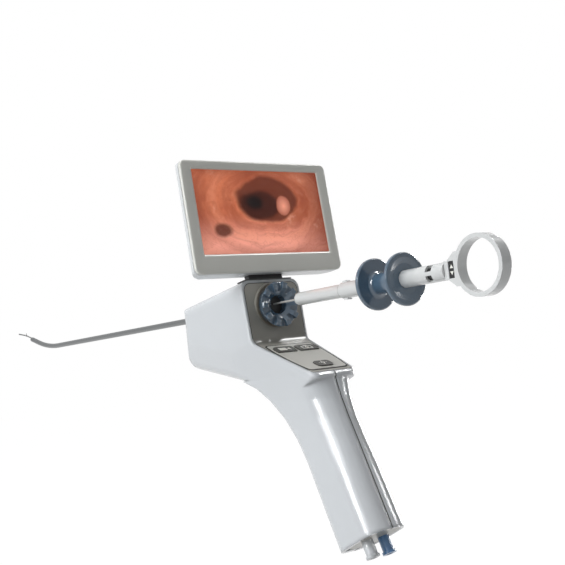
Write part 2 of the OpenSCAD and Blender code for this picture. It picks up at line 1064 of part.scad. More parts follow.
module dock_plate() {
  color("dimgray")
    at_dock()
      slab([-dock_half_width, -dock_length / 2, 0], [dock_half_width, dock_length / 2, dock_thick]);
}

module dock_connector() {
  color("black")
    at_dock()
      slab(
        [small - connector_half, small - connector_length / 2, small - connector_depth],
        [connector_half - small, connector_length / 2 - small, 0]
      );
}

pivot_y_share = -0.874;
pivot_z_share = 0.243;
pivot_y = pivot_y_share * outline_length;
pivot_z = pivot_z_share * outline_length;
ear_foot_share = -0.903;
ear_foot_y = ear_foot_share * outline_length;
ear_inner = 8.3;
block_top_share = 0.203;
block_top = block_top_share * outline_length;

module hinge_block() {
  foot_z = roof_line(ear_foot_y) + dock_thick;
  color("black")
    difference() {
      intersection() {
        union() {
          along_x(2 * hinge_half_width)
            translate([pivot_y, pivot_z])
              circle(r = ear_thick / 2 + over);
          along_x(2 * hinge_half_width)
            polygon([
              [ear_foot_y - ear_thick / 2, foot_z - over],
              [pivot_y - ear_thick / 2 - over / 2, pivot_z],
              [pivot_y + ear_thick / 2 + over / 2, pivot_z],
              [ear_foot_y + ear_thick / 2, foot_z - over]
            ]);
        }
        at_dock()
          slab([-reach, -reach, dock_thick], [reach, reach, reach]);
      }
      slab([-ear_inner, -reach, block_top], [ear_inner, reach, reach]);
      translate([0, pivot_y, pivot_z])
        rotate([0, 90, 0])
          cylinder(h = reach, r = hinge_pin_radius, center = true);
    }
}

pin_half_length = 12.4;

module hinge_pin() {
  color("silver")
    translate([-pin_half_length, pivot_y, pivot_z])
      rotate([0, 90, 0])
        cylinder(h = 2 * pin_half_length, r = hinge_pin_radius - small);
}

// Display frame: +Z up its face, +Y away from the user, origin at the picture's centre
pivot_depth = 12.228;
pivot_drop = 34.139;
display_y = pivot_y - pivot_depth * cos(display_lean) + pivot_drop * sin(display_lean);
display_z = pivot_z + pivot_depth * sin(display_lean) + pivot_drop * cos(display_lean);

module at_display() {
  translate([0, display_y, display_z])
    rotate([-display_lean, 0, 0])
      children();
}

bezel_front = 0.8;
bezel_back = 1.3;
groove = 0.4;
bevel = 0.9;
panel_round = 1;

module frame_outline(inset) {
  low = -frame_drop + inset;
  high = frame_height - frame_drop - inset;
  half = frame_half_width - inset;
  r = frame_round - inset / 2;
  polygon(rounded([[half, low], [half, high], [-half, high], [-half, low]], [r, r, r, r], 8));
}

module upright(from, to) {
  translate([0, to, 0])
    rotate([90, 0, 0])
      linear_extrude(to - from)
        children();
}

module picture_outline(grow) {
  w = picture_half_width + grow;
  h = picture_half_height + grow;
  polygon(rounded([[w, -h], [w, h], [-w, h], [-w, -h]],
    [panel_round, panel_round, panel_round, panel_round], 6));
}

glass_thick = 0.8;
glass_grow = 1.6;
panel_half_width = 52.7;
panel_low = 36;
panel_high = 31;
panel_depth = 3.9;

module display_bezel() {
  color("silver")
    at_display()
      difference() {
        upright(-bezel_front, bezel_back)
          frame_outline(0);
        upright(-bezel_front - over, bezel_back + over)
          picture_outline(0);
        upright(-bezel_front - over, -bezel_front + bevel / 2)
          picture_outline(bevel);
        upright(0, bezel_back + over)
          picture_outline(glass_grow + small);
        upright(glass_thick, bezel_back + over)
          slab_outline(panel_half_width + small, -panel_low - small, panel_high + small);
      }
}

module slab_outline(half, low, high) {
  polygon([[half, low], [half, high], [-half, high], [-half, low]]);
}

module cover_glass() {
  color("black")
    at_display()
      upright(0, glass_thick)
        picture_outline(glass_grow);
}

module display_panel() {
  color("orange")
    at_display()
      upright(glass_thick, panel_depth)
        slab_outline(panel_half_width, -panel_low, panel_high);
}

// Back cover: straight lower wall, strongly rounded sides
back_side_start = 5;
back_side_in = 12;
back_top_in = 6;
recess_half = 13.5;
recess_top = -29.2;
recess_front = 6.6;

module back_outer(inset) {
  half = frame_half_width - inset;
  low = -frame_drop + inset;
  high = frame_height - frame_drop - inset;
  deep = display_depth - inset;
  intersection() {
    upright(bezel_back + groove - over * (inset > 0 ? 3 : 0), deep)
      frame_outline(inset);
    translate([0, 0, -reach / 2])
      linear_extrude(reach)
        polygon(rounded(
          [
            [half, -over],
            [half, back_side_start],
            [half - back_side_in, deep],
            [-half + back_side_in, deep],
            [-half, back_side_start],
            [-half, -over]
          ],
          [0, 4, 6, 6, 4, 0],
          6
        ));
    along_x(reach)
      polygon(rounded(
        [[-over, low], [deep, low], [deep, high - back_top_in * 2], [back_side_start, high], [-over, high]],
        [0, 3, 6, 4, 0],
        6
      ));
  }
}

module back_groove() {
  upright(bezel_back, bezel_back + groove + small)
    frame_outline(groove * 1.5);
}

module display_back() {
  color("silver")
    at_display()
      difference() {
        union() {
          difference() {
            union() {
              back_outer(0);
              back_groove();
            }
            back_outer(display_wall);
          }
          intersection() {
            back_outer(0);
            slab([-recess_half - display_wall, recess_front - display_wall, -frame_drop],
              [recess_half + display_wall, reach, recess_top + display_wall]);
          }
        }
        slab([-recess_half, recess_front, -reach], [recess_half, reach, recess_top]);
        upright(bezel_back - over, panel_depth)
          slab_outline(panel_half_width + small, -panel_low - small, panel_high + small);
        power_hole();
        socket_hole();
        for (p = back_screw_shares)
          translate([p[0] * outline_length, 0, p[1] * outline_length])
            rotate([-90, 0, 0])
              translate([0, 0, panel_depth + over])
                cylinder(h = reach, r = screw_radius);
      }
}

back_screw_shares = [[-0.3, -0.33], [0.3, -0.33], [-0.3, 0.17], [0.3, 0.17]];

module display_screws() {
  color("silver")
    at_display()
      for (p = back_screw_shares)
        translate([p[0] * outline_length, 0, p[1] * outline_length])
          rotate([-90, 0, 0])
            difference() {
              translate([0, 0, display_depth - display_wall - screw_head_deep])
                cylinder(h = screw_head_deep + display_wall - small, r = screw_radius - small);
              translate([0, 0, display_depth - over])
                cylinder(h = 2 * over, r = screw_radius / 2, $fn = 6);
            }
}

power_z = 12;
power_half = 4;
power_low = 3.95;
power_high = 4.95;
power_rise = 0.5;
power_inner = 52.8;
power_flange = 0.5;

module power_hole() {
  slab([panel_half_width, power_low - button_gap, power_z - power_half - button_gap],
    [frame_half_width + over, power_high + button_gap, power_z + power_half + button_gap]);
}

module power_button() {
  color("dimgray")
    at_display() {
      slab([power_inner, power_low, power_z - power_half],
        [frame_half_width + power_rise, power_high, power_z + power_half]);
      slab([power_inner, power_low, power_z - power_half - flange_grow],
        [power_inner + power_flange, power_high, power_z + power_half + flange_grow]);
    }
}

socket_z = -10;
socket_half = 4.6;
socket_height = 3.2;
socket_reach = 49;
socket_wall = 0.4;
socket_inside = 4;

module socket_hole() {
  slab([socket_reach - 2 * over, socket_y - button_gap, socket_z - socket_half - button_gap],
    [frame_half_width + over, socket_y + socket_height + button_gap, socket_z + socket_half + button_gap]);
}

knuckle_half = 8.1;

module hinge_knuckle() {
  color("dimgray")
    difference() {
      union() {
        translate([-knuckle_half, pivot_y, pivot_z])
          rotate([0, 90, 0])
            cylinder(h = 2 * knuckle_half, r = knuckle_radius);
        at_display()
          slab([-knuckle_half, recess_front, -pivot_drop - knuckle_tab],
            [knuckle_half, pivot_depth - knuckle_radius / 2, knuckle_tab - pivot_drop]);
      }
      translate([0, pivot_y, pivot_z])
        rotate([0, 90, 0])
          cylinder(h = reach, r = hinge_pin_radius + running_gap, center = true);
    }
}

knuckle_tab = 1.9;
board_half = 44;
display_board_low = -26;
display_board_high = 24;
display_board_y = 5;
battery_half = 32;
battery_low = -22;
battery_high = 16;
battery_thick = 6;

socket_y = display_board_y + board_thick;
switch_reach = 52;
switch_half = 2;
pad_half = 12;

module display_board() {
  color("darkgreen")
    at_display() {
      slab([-board_half, display_board_y, display_board_low],
        [board_half, display_board_y + board_thick, display_board_high]);
      slab([-pad_half, panel_depth, -pad_half / 2], [pad_half, display_board_y + small, pad_half / 2]);
      slab([board_half - small, display_board_y, power_z - switch_half],
        [switch_reach, display_board_y + board_thick, power_z + switch_half]);
      difference() {
        slab([board_half - socket_half, socket_y - small, socket_z - socket_half],
          [socket_reach, socket_y + socket_height, socket_z + socket_half]);
        slab([socket_reach - socket_inside, socket_y + socket_wall, socket_z - socket_half + socket_wall],
          [socket_reach + over, socket_y + socket_height - socket_wall, socket_z + socket_half - socket_wall]);
      }
    }
}

module battery_pack() {
  color("gray")
    at_display()
      slab([-battery_half, display_board_y + board_thick, battery_low],
        [battery_half, display_board_y + board_thick + battery_thick, battery_high]);
}

// Rotating knob
knob_gap = 0.3;
knob_front_y = bearing_rear_share * outline_length - knob_gap;

funnel_radius = 10.6;
funnel_depth = 4;
notch_deep = 2.8;
notch_inner = 8.2;
notch_flare = 17;
notch_count = 10;

module rotation_knob() {
  color("steelblue")
    difference() {
      turned([
        [0, knob_front_y],
        [knob_neck, knob_front_y],
        [knob_radius, knob_front_y - knob_length + 2 * rounding],
        [knob_radius - rounding, knob_front_y - knob_length],
        [0, knob_front_y - knob_length]
      ]);
      turned([
        [0, knob_front_y - knob_length - over],
        [funnel_radius + over, knob_front_y - knob_length - over],
        [throat_radius, knob_front_y - knob_length + funnel_depth],
        [throat_radius, knob_front_y + over],
        [0, knob_front_y + over]
      ]);
      for (i = [0 : notch_count - 1])
        rotate([0, 90 + i * 360 / notch_count, 0])
          translate([0, knob_front_y - knob_length + notch_deep, 0])
            rotate([90, 0, 0])
              linear_extrude(notch_deep + over)
                polygon([
                  [notch_inner, -notch_width / 2],
                  [reach, -notch_width / 2 - tan(notch_flare) * (reach - notch_inner)],
                  [reach, notch_width / 2 + tan(notch_flare) * (reach - notch_inner)],
                  [notch_inner, notch_width / 2]
                ]);
    }
}

// Hub that carries the tube and turns in both bearings
hub_front = -2;
hub_step = -18;
hub_flange_radius = 10.4;
hub_journal_back = 0.02;
ring_groove = 0.7;
ring_groove_wide = 1.6;
o_ring_shares = [-0.47, -0.53, -0.59];

module shaft_hub() {
  color("steelblue")
    difference() {
      turned([
        [0, knob_front_y + hub_journal_back],
        [journal_radius, knob_front_y + hub_journal_back],
        [journal_radius, hub_flange_y],
        [hub_flange_radius, hub_flange_y],
        [hub_flange_radius, hub_flange_y + 2 * over],
        [hub_radius, hub_flange_y + 2 * over],
        [hub_radius, hub_step],
        [spigot_radius, hub_step],
        [spigot_radius, hub_front],
        [0, hub_front]
      ]);
      for (share = o_ring_shares)
        rotate([-90, 0, 0])
          translate([0, 0, share * outline_length - ring_groove_wide / 2])
            difference() {
              cylinder(h = ring_groove_wide, r = hub_radius + over);
              translate([0, 0, -over])
                cylinder(h = ring_groove_wide + 2 * over, r = hub_radius - ring_groove);
            }
      for (share = contact_shares)
        difference() {
          rod(share * outline_length - contact_wide / 2, contact_wide, hub_radius + over);
          rod(-outline_length, outline_length, hub_radius - contact_deep);
        }
      rod(knob_front_y - over, seal_depth + over, throat_radius);
      rod(hub_tube_share * outline_length, outline_length, tube_radius + small);
      translate([0, 0, wire_rise])
        rod(wire_rear_share * outline_length, outline_length, wire_radius + small);
      translate([0, 0, channel_rise])
        rod(-2 * outline_length, 3 * outline_length, liner_radius);
    }
}

hub_flange_y = bearing_rear_share * outline_length + bearing_length + hub_room / 2;
hub_tube_share = -0.3;
seal_depth = 4;
seal_thick = 2;

module hub_orings() {
  color("black")
    for (share = o_ring_shares)
      rotate([-90, 0, 0])
        translate([0, 0, share * outline_length - ring_groove_wide / 2 + small])
          difference() {
            cylinder(h = ring_groove_wide - 2 * small, r = hub_radius + running_gap / 2);
            translate([0, 0, -over])
              cylinder(h = ring_groove_wide + over, r = hub_radius - ring_groove);
          }
}

module channel_seal() {
  color("black")
    difference() {
      rod(knob_front_y + seal_depth - seal_thick, seal_thick, throat_radius - small);
      translate([0, 0, channel_rise])
        rod(-2 * outline_length, 3 * outline_length, shaft_radius + running_gap);
    }
}

contact_wide = 1.6;
contact_deep = 0.5;

// Slip rings that carry the camera's signal off the turning hub
module contact_rings() {
  color("gold")
    for (share = contact_shares)
      difference() {
        rod(share * outline_length - contact_wide / 2 + small, contact_wide - 2 * small, hub_radius);
        rod(-outline_length, outline_length, hub_radius - contact_deep + small);
      }
}

// Round bar along the tube's path, a straight, a bend and a straight, with a bore if one is given.
// The straights lap over the bend's ends. Children are cut out of the last straight, in the tip frame.
module swept(radius, bore, rise, from, to) {
  translate([0, 0, rise])
    difference() {
      rod(from, tube_straight - from + bend_lap, radius);
      if (bore > 0)
        rod(from - over, tube_straight - from + 2 * over, bore);
    }
  translate([0, tube_straight, bend_radius])
    rotate([0, 90, 0])
      rotate_extrude(angle = bend_angle, $fn = 180)
        translate([bend_radius - rise, 0])
          rotate(90)
            difference() {
              circle(r = radius - bend_ease, $fn = 24);
              if (bore > 0)
                circle(r = bore + bend_ease, $fn = 24);
            }
  at_tip()
    difference() {
      translate([0, 0, rise])
        difference() {
          rod(-bend_lap, to + bend_lap, radius);
          if (bore > 0)
            rod(-over, to + 2 * over, bore);
        }
      children();
    }
}

bend_lap = 0.3;
bend_ease = 0.01;

// Frame at the end of the bend, +Y along the tip
module at_tip() {
  translate([0, tube_straight + bend_radius * sin(bend_angle), bend_radius * (1 - cos(bend_angle))])
    rotate([bend_angle, 0, 0])
      children();
}

module rigid_tube() {
  color("silver")
    swept(tube_radius, tube_radius - tube_wall, 0, hub_tube_share * outline_length,
      tip_straight - cap_length)
      vent(0);
}

cap_length = 6;
cap_inside = 1.5;
vent_spots = [5.9, 12.1];
vent_radius = 0.55;

module vent(i) {
  translate([0, vent_spots[i], channel_rise])
    cylinder(h = tube_radius, r = vent_radius);
}

module channel_liner() {
  color("white")
    swept(liner_radius - small, liner_radius - liner_wall, channel_rise,
      liner_share * outline_length, tip_straight - over) {
      vent(0);
      vent(1);
    }
}

liner_share = -0.9;

// Distal cap with the camera below the channel and a lamp window on each side
camera_half = 0.75;
camera_low = -1.65;
camera_high = -0.25;
camera_length = 3;
lens_radius = 0.5;
lens_z = -1;
lens_length = 0.6;
lamp_radius = 0.3;
lamp_x = 1.35;
lamp_z = -0.65;
lamp_length = 1.2;
nose_round = 0.7;

module tip_cap() {
  color("silver")
    at_tip()
      difference() {
        turned([
          [0, tip_straight - cap_length - cap_inside],
          [tube_radius - tube_wall - small, tip_straight - cap_length - cap_inside],
          [tube_radius - tube_wall - small, tip_straight - cap_length],
          [tube_radius, tip_straight - cap_length],
          [tube_radius, tip_straight - nose_round],
          [tube_radius - nose_round / 2, tip_straight],
          [0, tip_straight]
        ]);
        translate([0, 0, channel_rise])
          rod(0, reach, liner_radius);
        slab([-camera_half, tip_straight - lens_length - camera_length, camera_low],
          [camera_half, tip_straight - lens_length, camera_high]);
        translate([0, 0, lens_z])
          rod(tip_straight - lens_length - over, reach, lens_radius);
        translate([0, 0, wire_rise])
          rod(0, tip_straight - lens_length - camera_length, wire_radius + small);
        vent(1);
        for (side = [-1, 1])
          translate([side * lamp_x, 0, lamp_z])
            rod(tip_straight - lamp_length, reach, lamp_radius);
      }
}

module camera_module() {
  color("black")
    at_tip() {
      slab([-camera_half + small, tip_straight - lens_length - camera_length + small, camera_low + small],
        [camera_half - small, tip_straight - lens_length, camera_high - small]);
      translate([0, 0, lens_z])
        rod(tip_straight - lens_length - small, lens_length - small, lens_radius - small);
    }
}

module tip_lamps() {
  color("white")
    at_tip()
      for (side = [-1, 1])
        translate([side * lamp_x, 0, lamp_z])
          rod(tip_straight - lamp_length, lamp_length - small, lamp_radius - small);
}

wire_radius = 0.32;
wire_rise = -1;
wire_rear_share = -0.74;

module camera_wire() {
  color("orange")
    swept(wire_radius, 0, wire_rise, wire_rear_share * outline_length + small,
      tip_straight - lens_length - camera_length);
}

// Tool parts, all on the channel's axis
module on_channel() {
  translate([0, 0, channel_rise])
    children();
}

nose_end_share = -1.22;
nose_end = nose_end_share * outline_length;
barrel_front_share = -1.66;
barrel_rear_share = -2.5;
barrel_y = barrel_front_share * outline_length;
barrel_end = barrel_rear_share * outline_length;
nose_tip_radius = 2.6;
nose_taper = 3;
nose_inside = 6;
lug_share = -1.7;
lug_half = 1.6;
lug_rise = 0.7;

module tool_nose() {
  color("white")
    on_channel()
      difference() {
        turned([
          [0, nose_end],
          [nose_tip_radius - rounding, nose_end],
          [nose_tip_radius, nose_end - rounding / 2],
          [nose_radius - rounding, nose_end - nose_taper / 2],
          [nose_radius, nose_end - nose_taper],
          [nose_radius, barrel_y],
          [barrel_bore - small, barrel_y],
          [barrel_bore - small, barrel_y - nose_inside],
          [0, barrel_y - nose_inside]
        ]);
        rod(-4 * outline_length, 8 * outline_length, shaft_radius);
      }
}

slot_half = 1;
slot_shares = [-2.18, -2.033];
window_shares = [-2.42, -2.377];
swivel_radius = 2.4;

module tool_barrel() {
  color("white")
    on_channel()
      difference() {
        union() {
          turned([
            [0, barrel_y],
            [nose_radius + rounding / 2, barrel_y],
            [barrel_radius, barrel_y - rounding * 2],
            [barrel_radius, barrel_end],
            [0, barrel_end]
          ]);
          for (side = [-1, 1])
            slab([-lug_half, lug_share * outline_length - lug_half, side > 0 ? 0 : -barrel_radius - lug_rise],
              [lug_half, lug_share * outline_length + lug_half, side > 0 ? barrel_radius + lug_rise : 0]);
        }
        rod(barrel_end + end_wall, reach, barrel_bore);
        rod(-4 * outline_length, 4 * outline_length, swivel_radius + running_gap);
        slab([-slot_half, slot_shares[0] * outline_length, -reach],
          [slot_half, slot_shares[1] * outline_length, reach]);
        for (side = [-1, 1])
          intersection() {
            slab([side > 0 ? over : -reach, window_shares[0] * outline_length, -reach],
              [side > 0 ? reach : -over, window_shares[1] * outline_length, reach]);
            union() {
              slab([-reach, -reach, window_low], [reach, reach, window_high]);
              slab([-reach, -reach, -window_high], [reach, reach, -window_low]);
            }
          }
      }
}

end_wall = 4;
window_low = 1.1;
window_high = 4.1;
anchor_shares = [-2.45, -2.35];

module tool_anchor() {
  color("black")
    on_channel()
      rod(anchor_shares[0] * outline_length, (anchor_shares[1] - anchor_shares[0]) * outline_length,
        barrel_bore - small);
}

shaft_rear_share = -1.7;
shaft_front_gap = 6;

module tool_shaft() {
  color("silver")
    on_channel()
      difference() {
        rod(shaft_rear_share * outline_length,
          tube_straight - shaft_front_gap - shaft_rear_share * outline_length, shaft_radius - small);
        rod(-4 * outline_length, 8 * outline_length, shaft_bore);
      }
}

// Wire that carries the pull through the bend
core_inside = 10;
core_radius = 0.3;
core_tip = 20;

module drive_core() {
  color("silver")
    swept(core_radius, 0, channel_rise, tube_straight - shaft_front_gap - core_inside, core_tip);
}

spool_front_share = -1.938;
spool_front = spool_front_share * outline_length;
dish_depth = 0.7;
dish_share = 0.82;
hub_share = 0.6;

module finger_spool() {
  color("steelblue")
    on_channel()
      difference() {
        turned(concat(
          [
            [0, spool_front],
            [spool_radius - rounding, spool_front],
            [spool_radius, spool_front - rounding],
            [spool_radius, spool_front - disc_thick + rounding],
            [spool_radius - rounding, spool_front - disc_thick]
          ],
          waist_points(),
          [
            [spool_radius - rounding, spool_front - spool_length + disc_thick],
            [spool_radius, spool_front - spool_length + disc_thick - rounding],
            [spool_radius, spool_front - spool_length + rounding],
            [spool_radius - rounding, spool_front - spool_length],
            [spool_radius * dish_share, spool_front - spool_length],
            [spool_radius * hub_share, spool_front - spool_length + dish_depth],
            [0, spool_front - spool_length + dish_depth]
          ]
        ));
        rod(-4 * outline_length, 4 * outline_length, barrel_radius + running_gap);
        slab([-slot_half + small, cross_y - cross_half, -waist_radius - over],
          [slot_half - small, cross_y + cross_half, waist_radius + over]);
      }
}

waist_flare = 2.4;

function waist_points() =
  let (
    front = spool_front - disc_thick,
    back = spool_front - spool_length + disc_thick
  )
  concat(
    [for (i = [0 : 8]) [waist_radius + waist_flare * (1 - sin(i * 90 / 8)),
      front - waist_flare * (1 - cos(i * 90 / 8))]],
    [for (i = [8 : -1 : 0]) [waist_radius + waist_flare * (1 - sin(i * 90 / 8)),
      back + waist_flare * (1 - cos(i * 90 / 8))]]
  );

cross_share = -2.08;
cross_y = cross_share * outline_length;
cross_half = 1.2;

module cross_bar() {
  color("silver")
    on_channel()
      slab([-slot_half + 2 * small, cross_y - cross_half + small, -waist_radius + small],
        [slot_half - 2 * small, cross_y + cross_half - small, waist_radius - small]);
}

core_gap = 8;

module pull_rod() {
  color("silver")
    on_channel()
      rod(cross_y + cross_half - small,
        tube_straight - shaft_front_gap - core_inside - core_gap - cross_y - cross_half, rod_radius);
}

// Thumb ring with its stem and swivel
ring_share = -2.726;
ring_y = ring_share * outline_length;
stem_front_share = -2.502;
stem_front = stem_front_share * outline_length;
stem_half_front = 4.7;
stem_half_back = 8.6;
insert_half_height = 4.3;
insert_length = 3.7;
insert_front_share = -2.531;
insert_front = insert_front_share * outline_length;

module thumb_ring() {
  color("white")
    on_channel()
      difference() {
        union() {
          translate([0, ring_y, 0])
            rotate([0, 90, 0])
              cylinder(h = ring_width, r = ring_radius, center = true);
          along_x(ring_width)
            polygon([
              [stem_front, -stem_half_front],
              [stem_front, stem_half_front],
              [stem_front - ring_wall, stem_half_front],
              [stem_middle, stem_half_back],
              [ring_y, stem_half_back],
              [ring_y, -stem_half_back],
              [stem_middle, -stem_half_back],
              [stem_front - ring_wall, -stem_half_front]
            ]);
        }
        translate([0, ring_y, 0])
          rotate([0, 90, 0])
            cylinder(h = 2 * ring_width, r = ring_radius - ring_wall, center = true);
        slab([-reach, insert_front - insert_length, -insert_half_height],
          [reach, insert_front, insert_half_height]);
        rod(insert_front - over, reach, swivel_radius - rounding * 1.5);
      }
}

stem_middle_share = -2.575;
stem_middle = stem_middle_share * outline_length;

module neck_insert() {
  color("black")
    on_channel()
      slab([-ring_width / 2 + insert_inset, insert_front - insert_length + small,
        -insert_half_height + small],
        [ring_width / 2 - insert_inset, insert_front - small, insert_half_height - small]);
}

insert_inset = 0.4;
swivel_head = 0.9;

module swivel_pin() {
  color("silver")
    on_channel() {
      rod(insert_front, barrel_end + end_wall + swivel_head - insert_front,
        swivel_radius - rounding * 1.5 - small);
      rod(barrel_end + small, end_wall - small * 2, swivel_radius);
      rod(barrel_end + end_wall + small, swivel_head, barrel_bore - 3 * running_gap);
    }
}

// Tip of the tool, in the tip frame
pivot_reach = 32.8;
tip_shaft_rear = 10;
ear_gap = 0.52;
ear_wall = 0.26;
clevis_width = 0.62;
jaw_pin_radius = 0.2;

module at_pivot() {
  at_tip()
    translate([0, pivot_reach, channel_rise])
      children();
}

module tip_shaft() {
  color("silver")
    at_tip()
      on_channel()
        difference() {
          rod(tip_shaft_rear, pivot_reach - tip_shaft_rear - clevis_back, shaft_radius - small);
          rod(tip_shaft_rear - over, pivot_reach - tip_shaft_rear - clevis_back, shaft_bore);
        }
}

clevis_back = 1.7;
clevis_wall = 0.45;
clevis_front = 0.45;

module jaw_clevis() {
  color("silver")
    at_pivot()
      difference() {
        slab([-clevis_width / 2, -clevis_back, -ear_gap - ear_wall],
          [clevis_width / 2, clevis_front, ear_gap + ear_wall]);
        slab([-over, clevis_wall - clevis_back, -ear_gap], [over, over, ear_gap]);
        translate([0, 0, -over])
          cylinder(h = 2 * over, r = jaw_pin_radius);
      }
}

module jaw_pin() {
  color("silver")
    at_pivot()
      translate([0, 0, -ear_gap - ear_wall])
        cylinder(h = 2 * (ear_gap + ear_wall), r = jaw_pin_radius - small / 4);
}

jaw_knuckle = 0.42;
jaw_thick = 0.5;
jaw_half_wide = 0.55;
jaw_part_gap = 0.03;

module jaw(side) {
  at_pivot()
    rotate([0, 0, side * -jaw_open])
      difference() {
        union() {
          translate([0, 0, side > 0 ? jaw_part_gap : -ear_gap + jaw_part_gap])
            cylinder(h = ear_gap - 2 * jaw_part_gap, r = jaw_knuckle);
          slab([side > 0 ? jaw_part_gap : -jaw_knuckle, 0, side > 0 ? jaw_part_gap : -ear_gap + jaw_part_gap],
            [side > 0 ? jaw_knuckle : -jaw_part_gap, 2 * over, side > 0 ? ear_gap - jaw_part_gap : -jaw_part_gap]);
          slab([side > 0 ? jaw_part_gap : -jaw_thick, jaw_start, -jaw_half_wide],
            [side > 0 ? jaw_thick : -jaw_part_gap, jaw_length - jaw_half_wide, jaw_half_wide]);
          translate([side > 0 ? jaw_part_gap : -jaw_thick, jaw_length - jaw_half_wide, 0])
            rotate([0, 90, 0])
              cylinder(h = jaw_thick - jaw_part_gap, r = jaw_half_wide, $fn = 32);
        }
        translate([0, 0, -over])
          cylinder(h = 2 * over, r = jaw_pin_radius + running_gap / 2);
        for (i = [0 : 3])
          translate([side * jaw_part_gap, jaw_start + tooth_step * (i + 1), 0])
            rotate([0, 0, 45])
              slab([-tooth, -tooth, -over], [tooth, tooth, over]);
      }
}

jaw_start = 1.3;
tooth_step = 1.4;
tooth = 0.16;

module left_jaw() {
  color("silver")
    jaw(-1);
}

module right_jaw() {
  color("silver")
    jaw(1);
}

module video_button() {
  button_cap(0);
}

module photo_button() {
  button_cap(1);
}

module light_button() {
  button_cap(2);
}

left_shell();
right_shell();
nose_collar();
bearing_ring();
rear_cover();
keypad_label();
video_button();
photo_button();
light_button();
keypad_board();
switch_domes();
shell_screws();
main_board();
fluid_manifold();
inflow_tube();
outflow_tube();
base_plug();
inflow_port();
outflow_port();
dock_plate();
dock_connector();
hinge_block();
hinge_pin();
display_bezel();
display_back();
display_panel();
cover_glass();
display_board();
battery_pack();
hinge_knuckle();
display_screws();
power_button();
rotation_knob();
shaft_hub();
hub_orings();
channel_seal();
contact_rings();
rigid_tube();
channel_liner();
tip_cap();
camera_module();
tip_lamps();
camera_wire();
tool_nose();
tool_barrel();
tool_anchor();
tool_shaft();
drive_core();
finger_spool();
cross_bar();
pull_rod();
thumb_ring();
neck_insert();
swivel_pin();
tip_shaft();
jaw_clevis();
jaw_pin();
left_jaw();
right_jaw();
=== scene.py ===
"""Looks of a hand-held hysteroscope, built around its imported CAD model."""

import math

import bmesh
import bpy
from mathutils import Matrix, Vector

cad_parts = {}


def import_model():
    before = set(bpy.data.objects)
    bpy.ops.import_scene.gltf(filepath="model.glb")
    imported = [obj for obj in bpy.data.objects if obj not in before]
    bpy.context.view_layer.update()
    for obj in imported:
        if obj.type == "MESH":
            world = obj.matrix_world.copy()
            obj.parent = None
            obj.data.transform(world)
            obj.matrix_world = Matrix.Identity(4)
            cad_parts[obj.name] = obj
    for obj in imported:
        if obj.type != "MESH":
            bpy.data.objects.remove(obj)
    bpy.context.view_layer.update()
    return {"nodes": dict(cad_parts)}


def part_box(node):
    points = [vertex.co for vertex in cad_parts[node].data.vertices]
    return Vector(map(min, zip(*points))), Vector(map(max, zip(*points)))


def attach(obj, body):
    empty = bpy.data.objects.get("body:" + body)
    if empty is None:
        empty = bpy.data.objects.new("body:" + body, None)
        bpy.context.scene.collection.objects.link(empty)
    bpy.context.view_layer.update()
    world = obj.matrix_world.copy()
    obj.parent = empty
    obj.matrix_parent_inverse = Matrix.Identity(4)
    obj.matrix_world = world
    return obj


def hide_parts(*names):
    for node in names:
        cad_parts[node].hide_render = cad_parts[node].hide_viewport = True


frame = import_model()
NODES = frame["nodes"]
MM = 0.001


# Camera at the photograph's viewing angle
CAMERA_PLACE = (-0.3531195, -0.5929715, -0.0342892)
CAMERA_TURN = (1.6497508, 0.1061185, -0.6220171)
CAMERA_LENS = 62.086

camera_data = bpy.data.cameras.new("camera")
camera_data.lens = CAMERA_LENS
camera_data.sensor_width = 36
camera_data.clip_start = 0.01
camera_data.clip_end = 50
camera = bpy.data.objects.new("camera", camera_data)
camera.location = CAMERA_PLACE
camera.rotation_euler = CAMERA_TURN
bpy.context.scene.collection.objects.link(camera)
bpy.context.scene.camera = camera
bpy.context.scene.view_settings.view_transform = "Standard"


# Node helpers
def srgb(r, g, b):
    """Linear colour of an 8-bit screen colour."""

    def linear(c):
        c /= 255
        return c / 12.92 if c <= 0.04045 else ((c + 0.055) / 1.055) ** 2.4

    return (linear(r), linear(g), linear(b), 1)


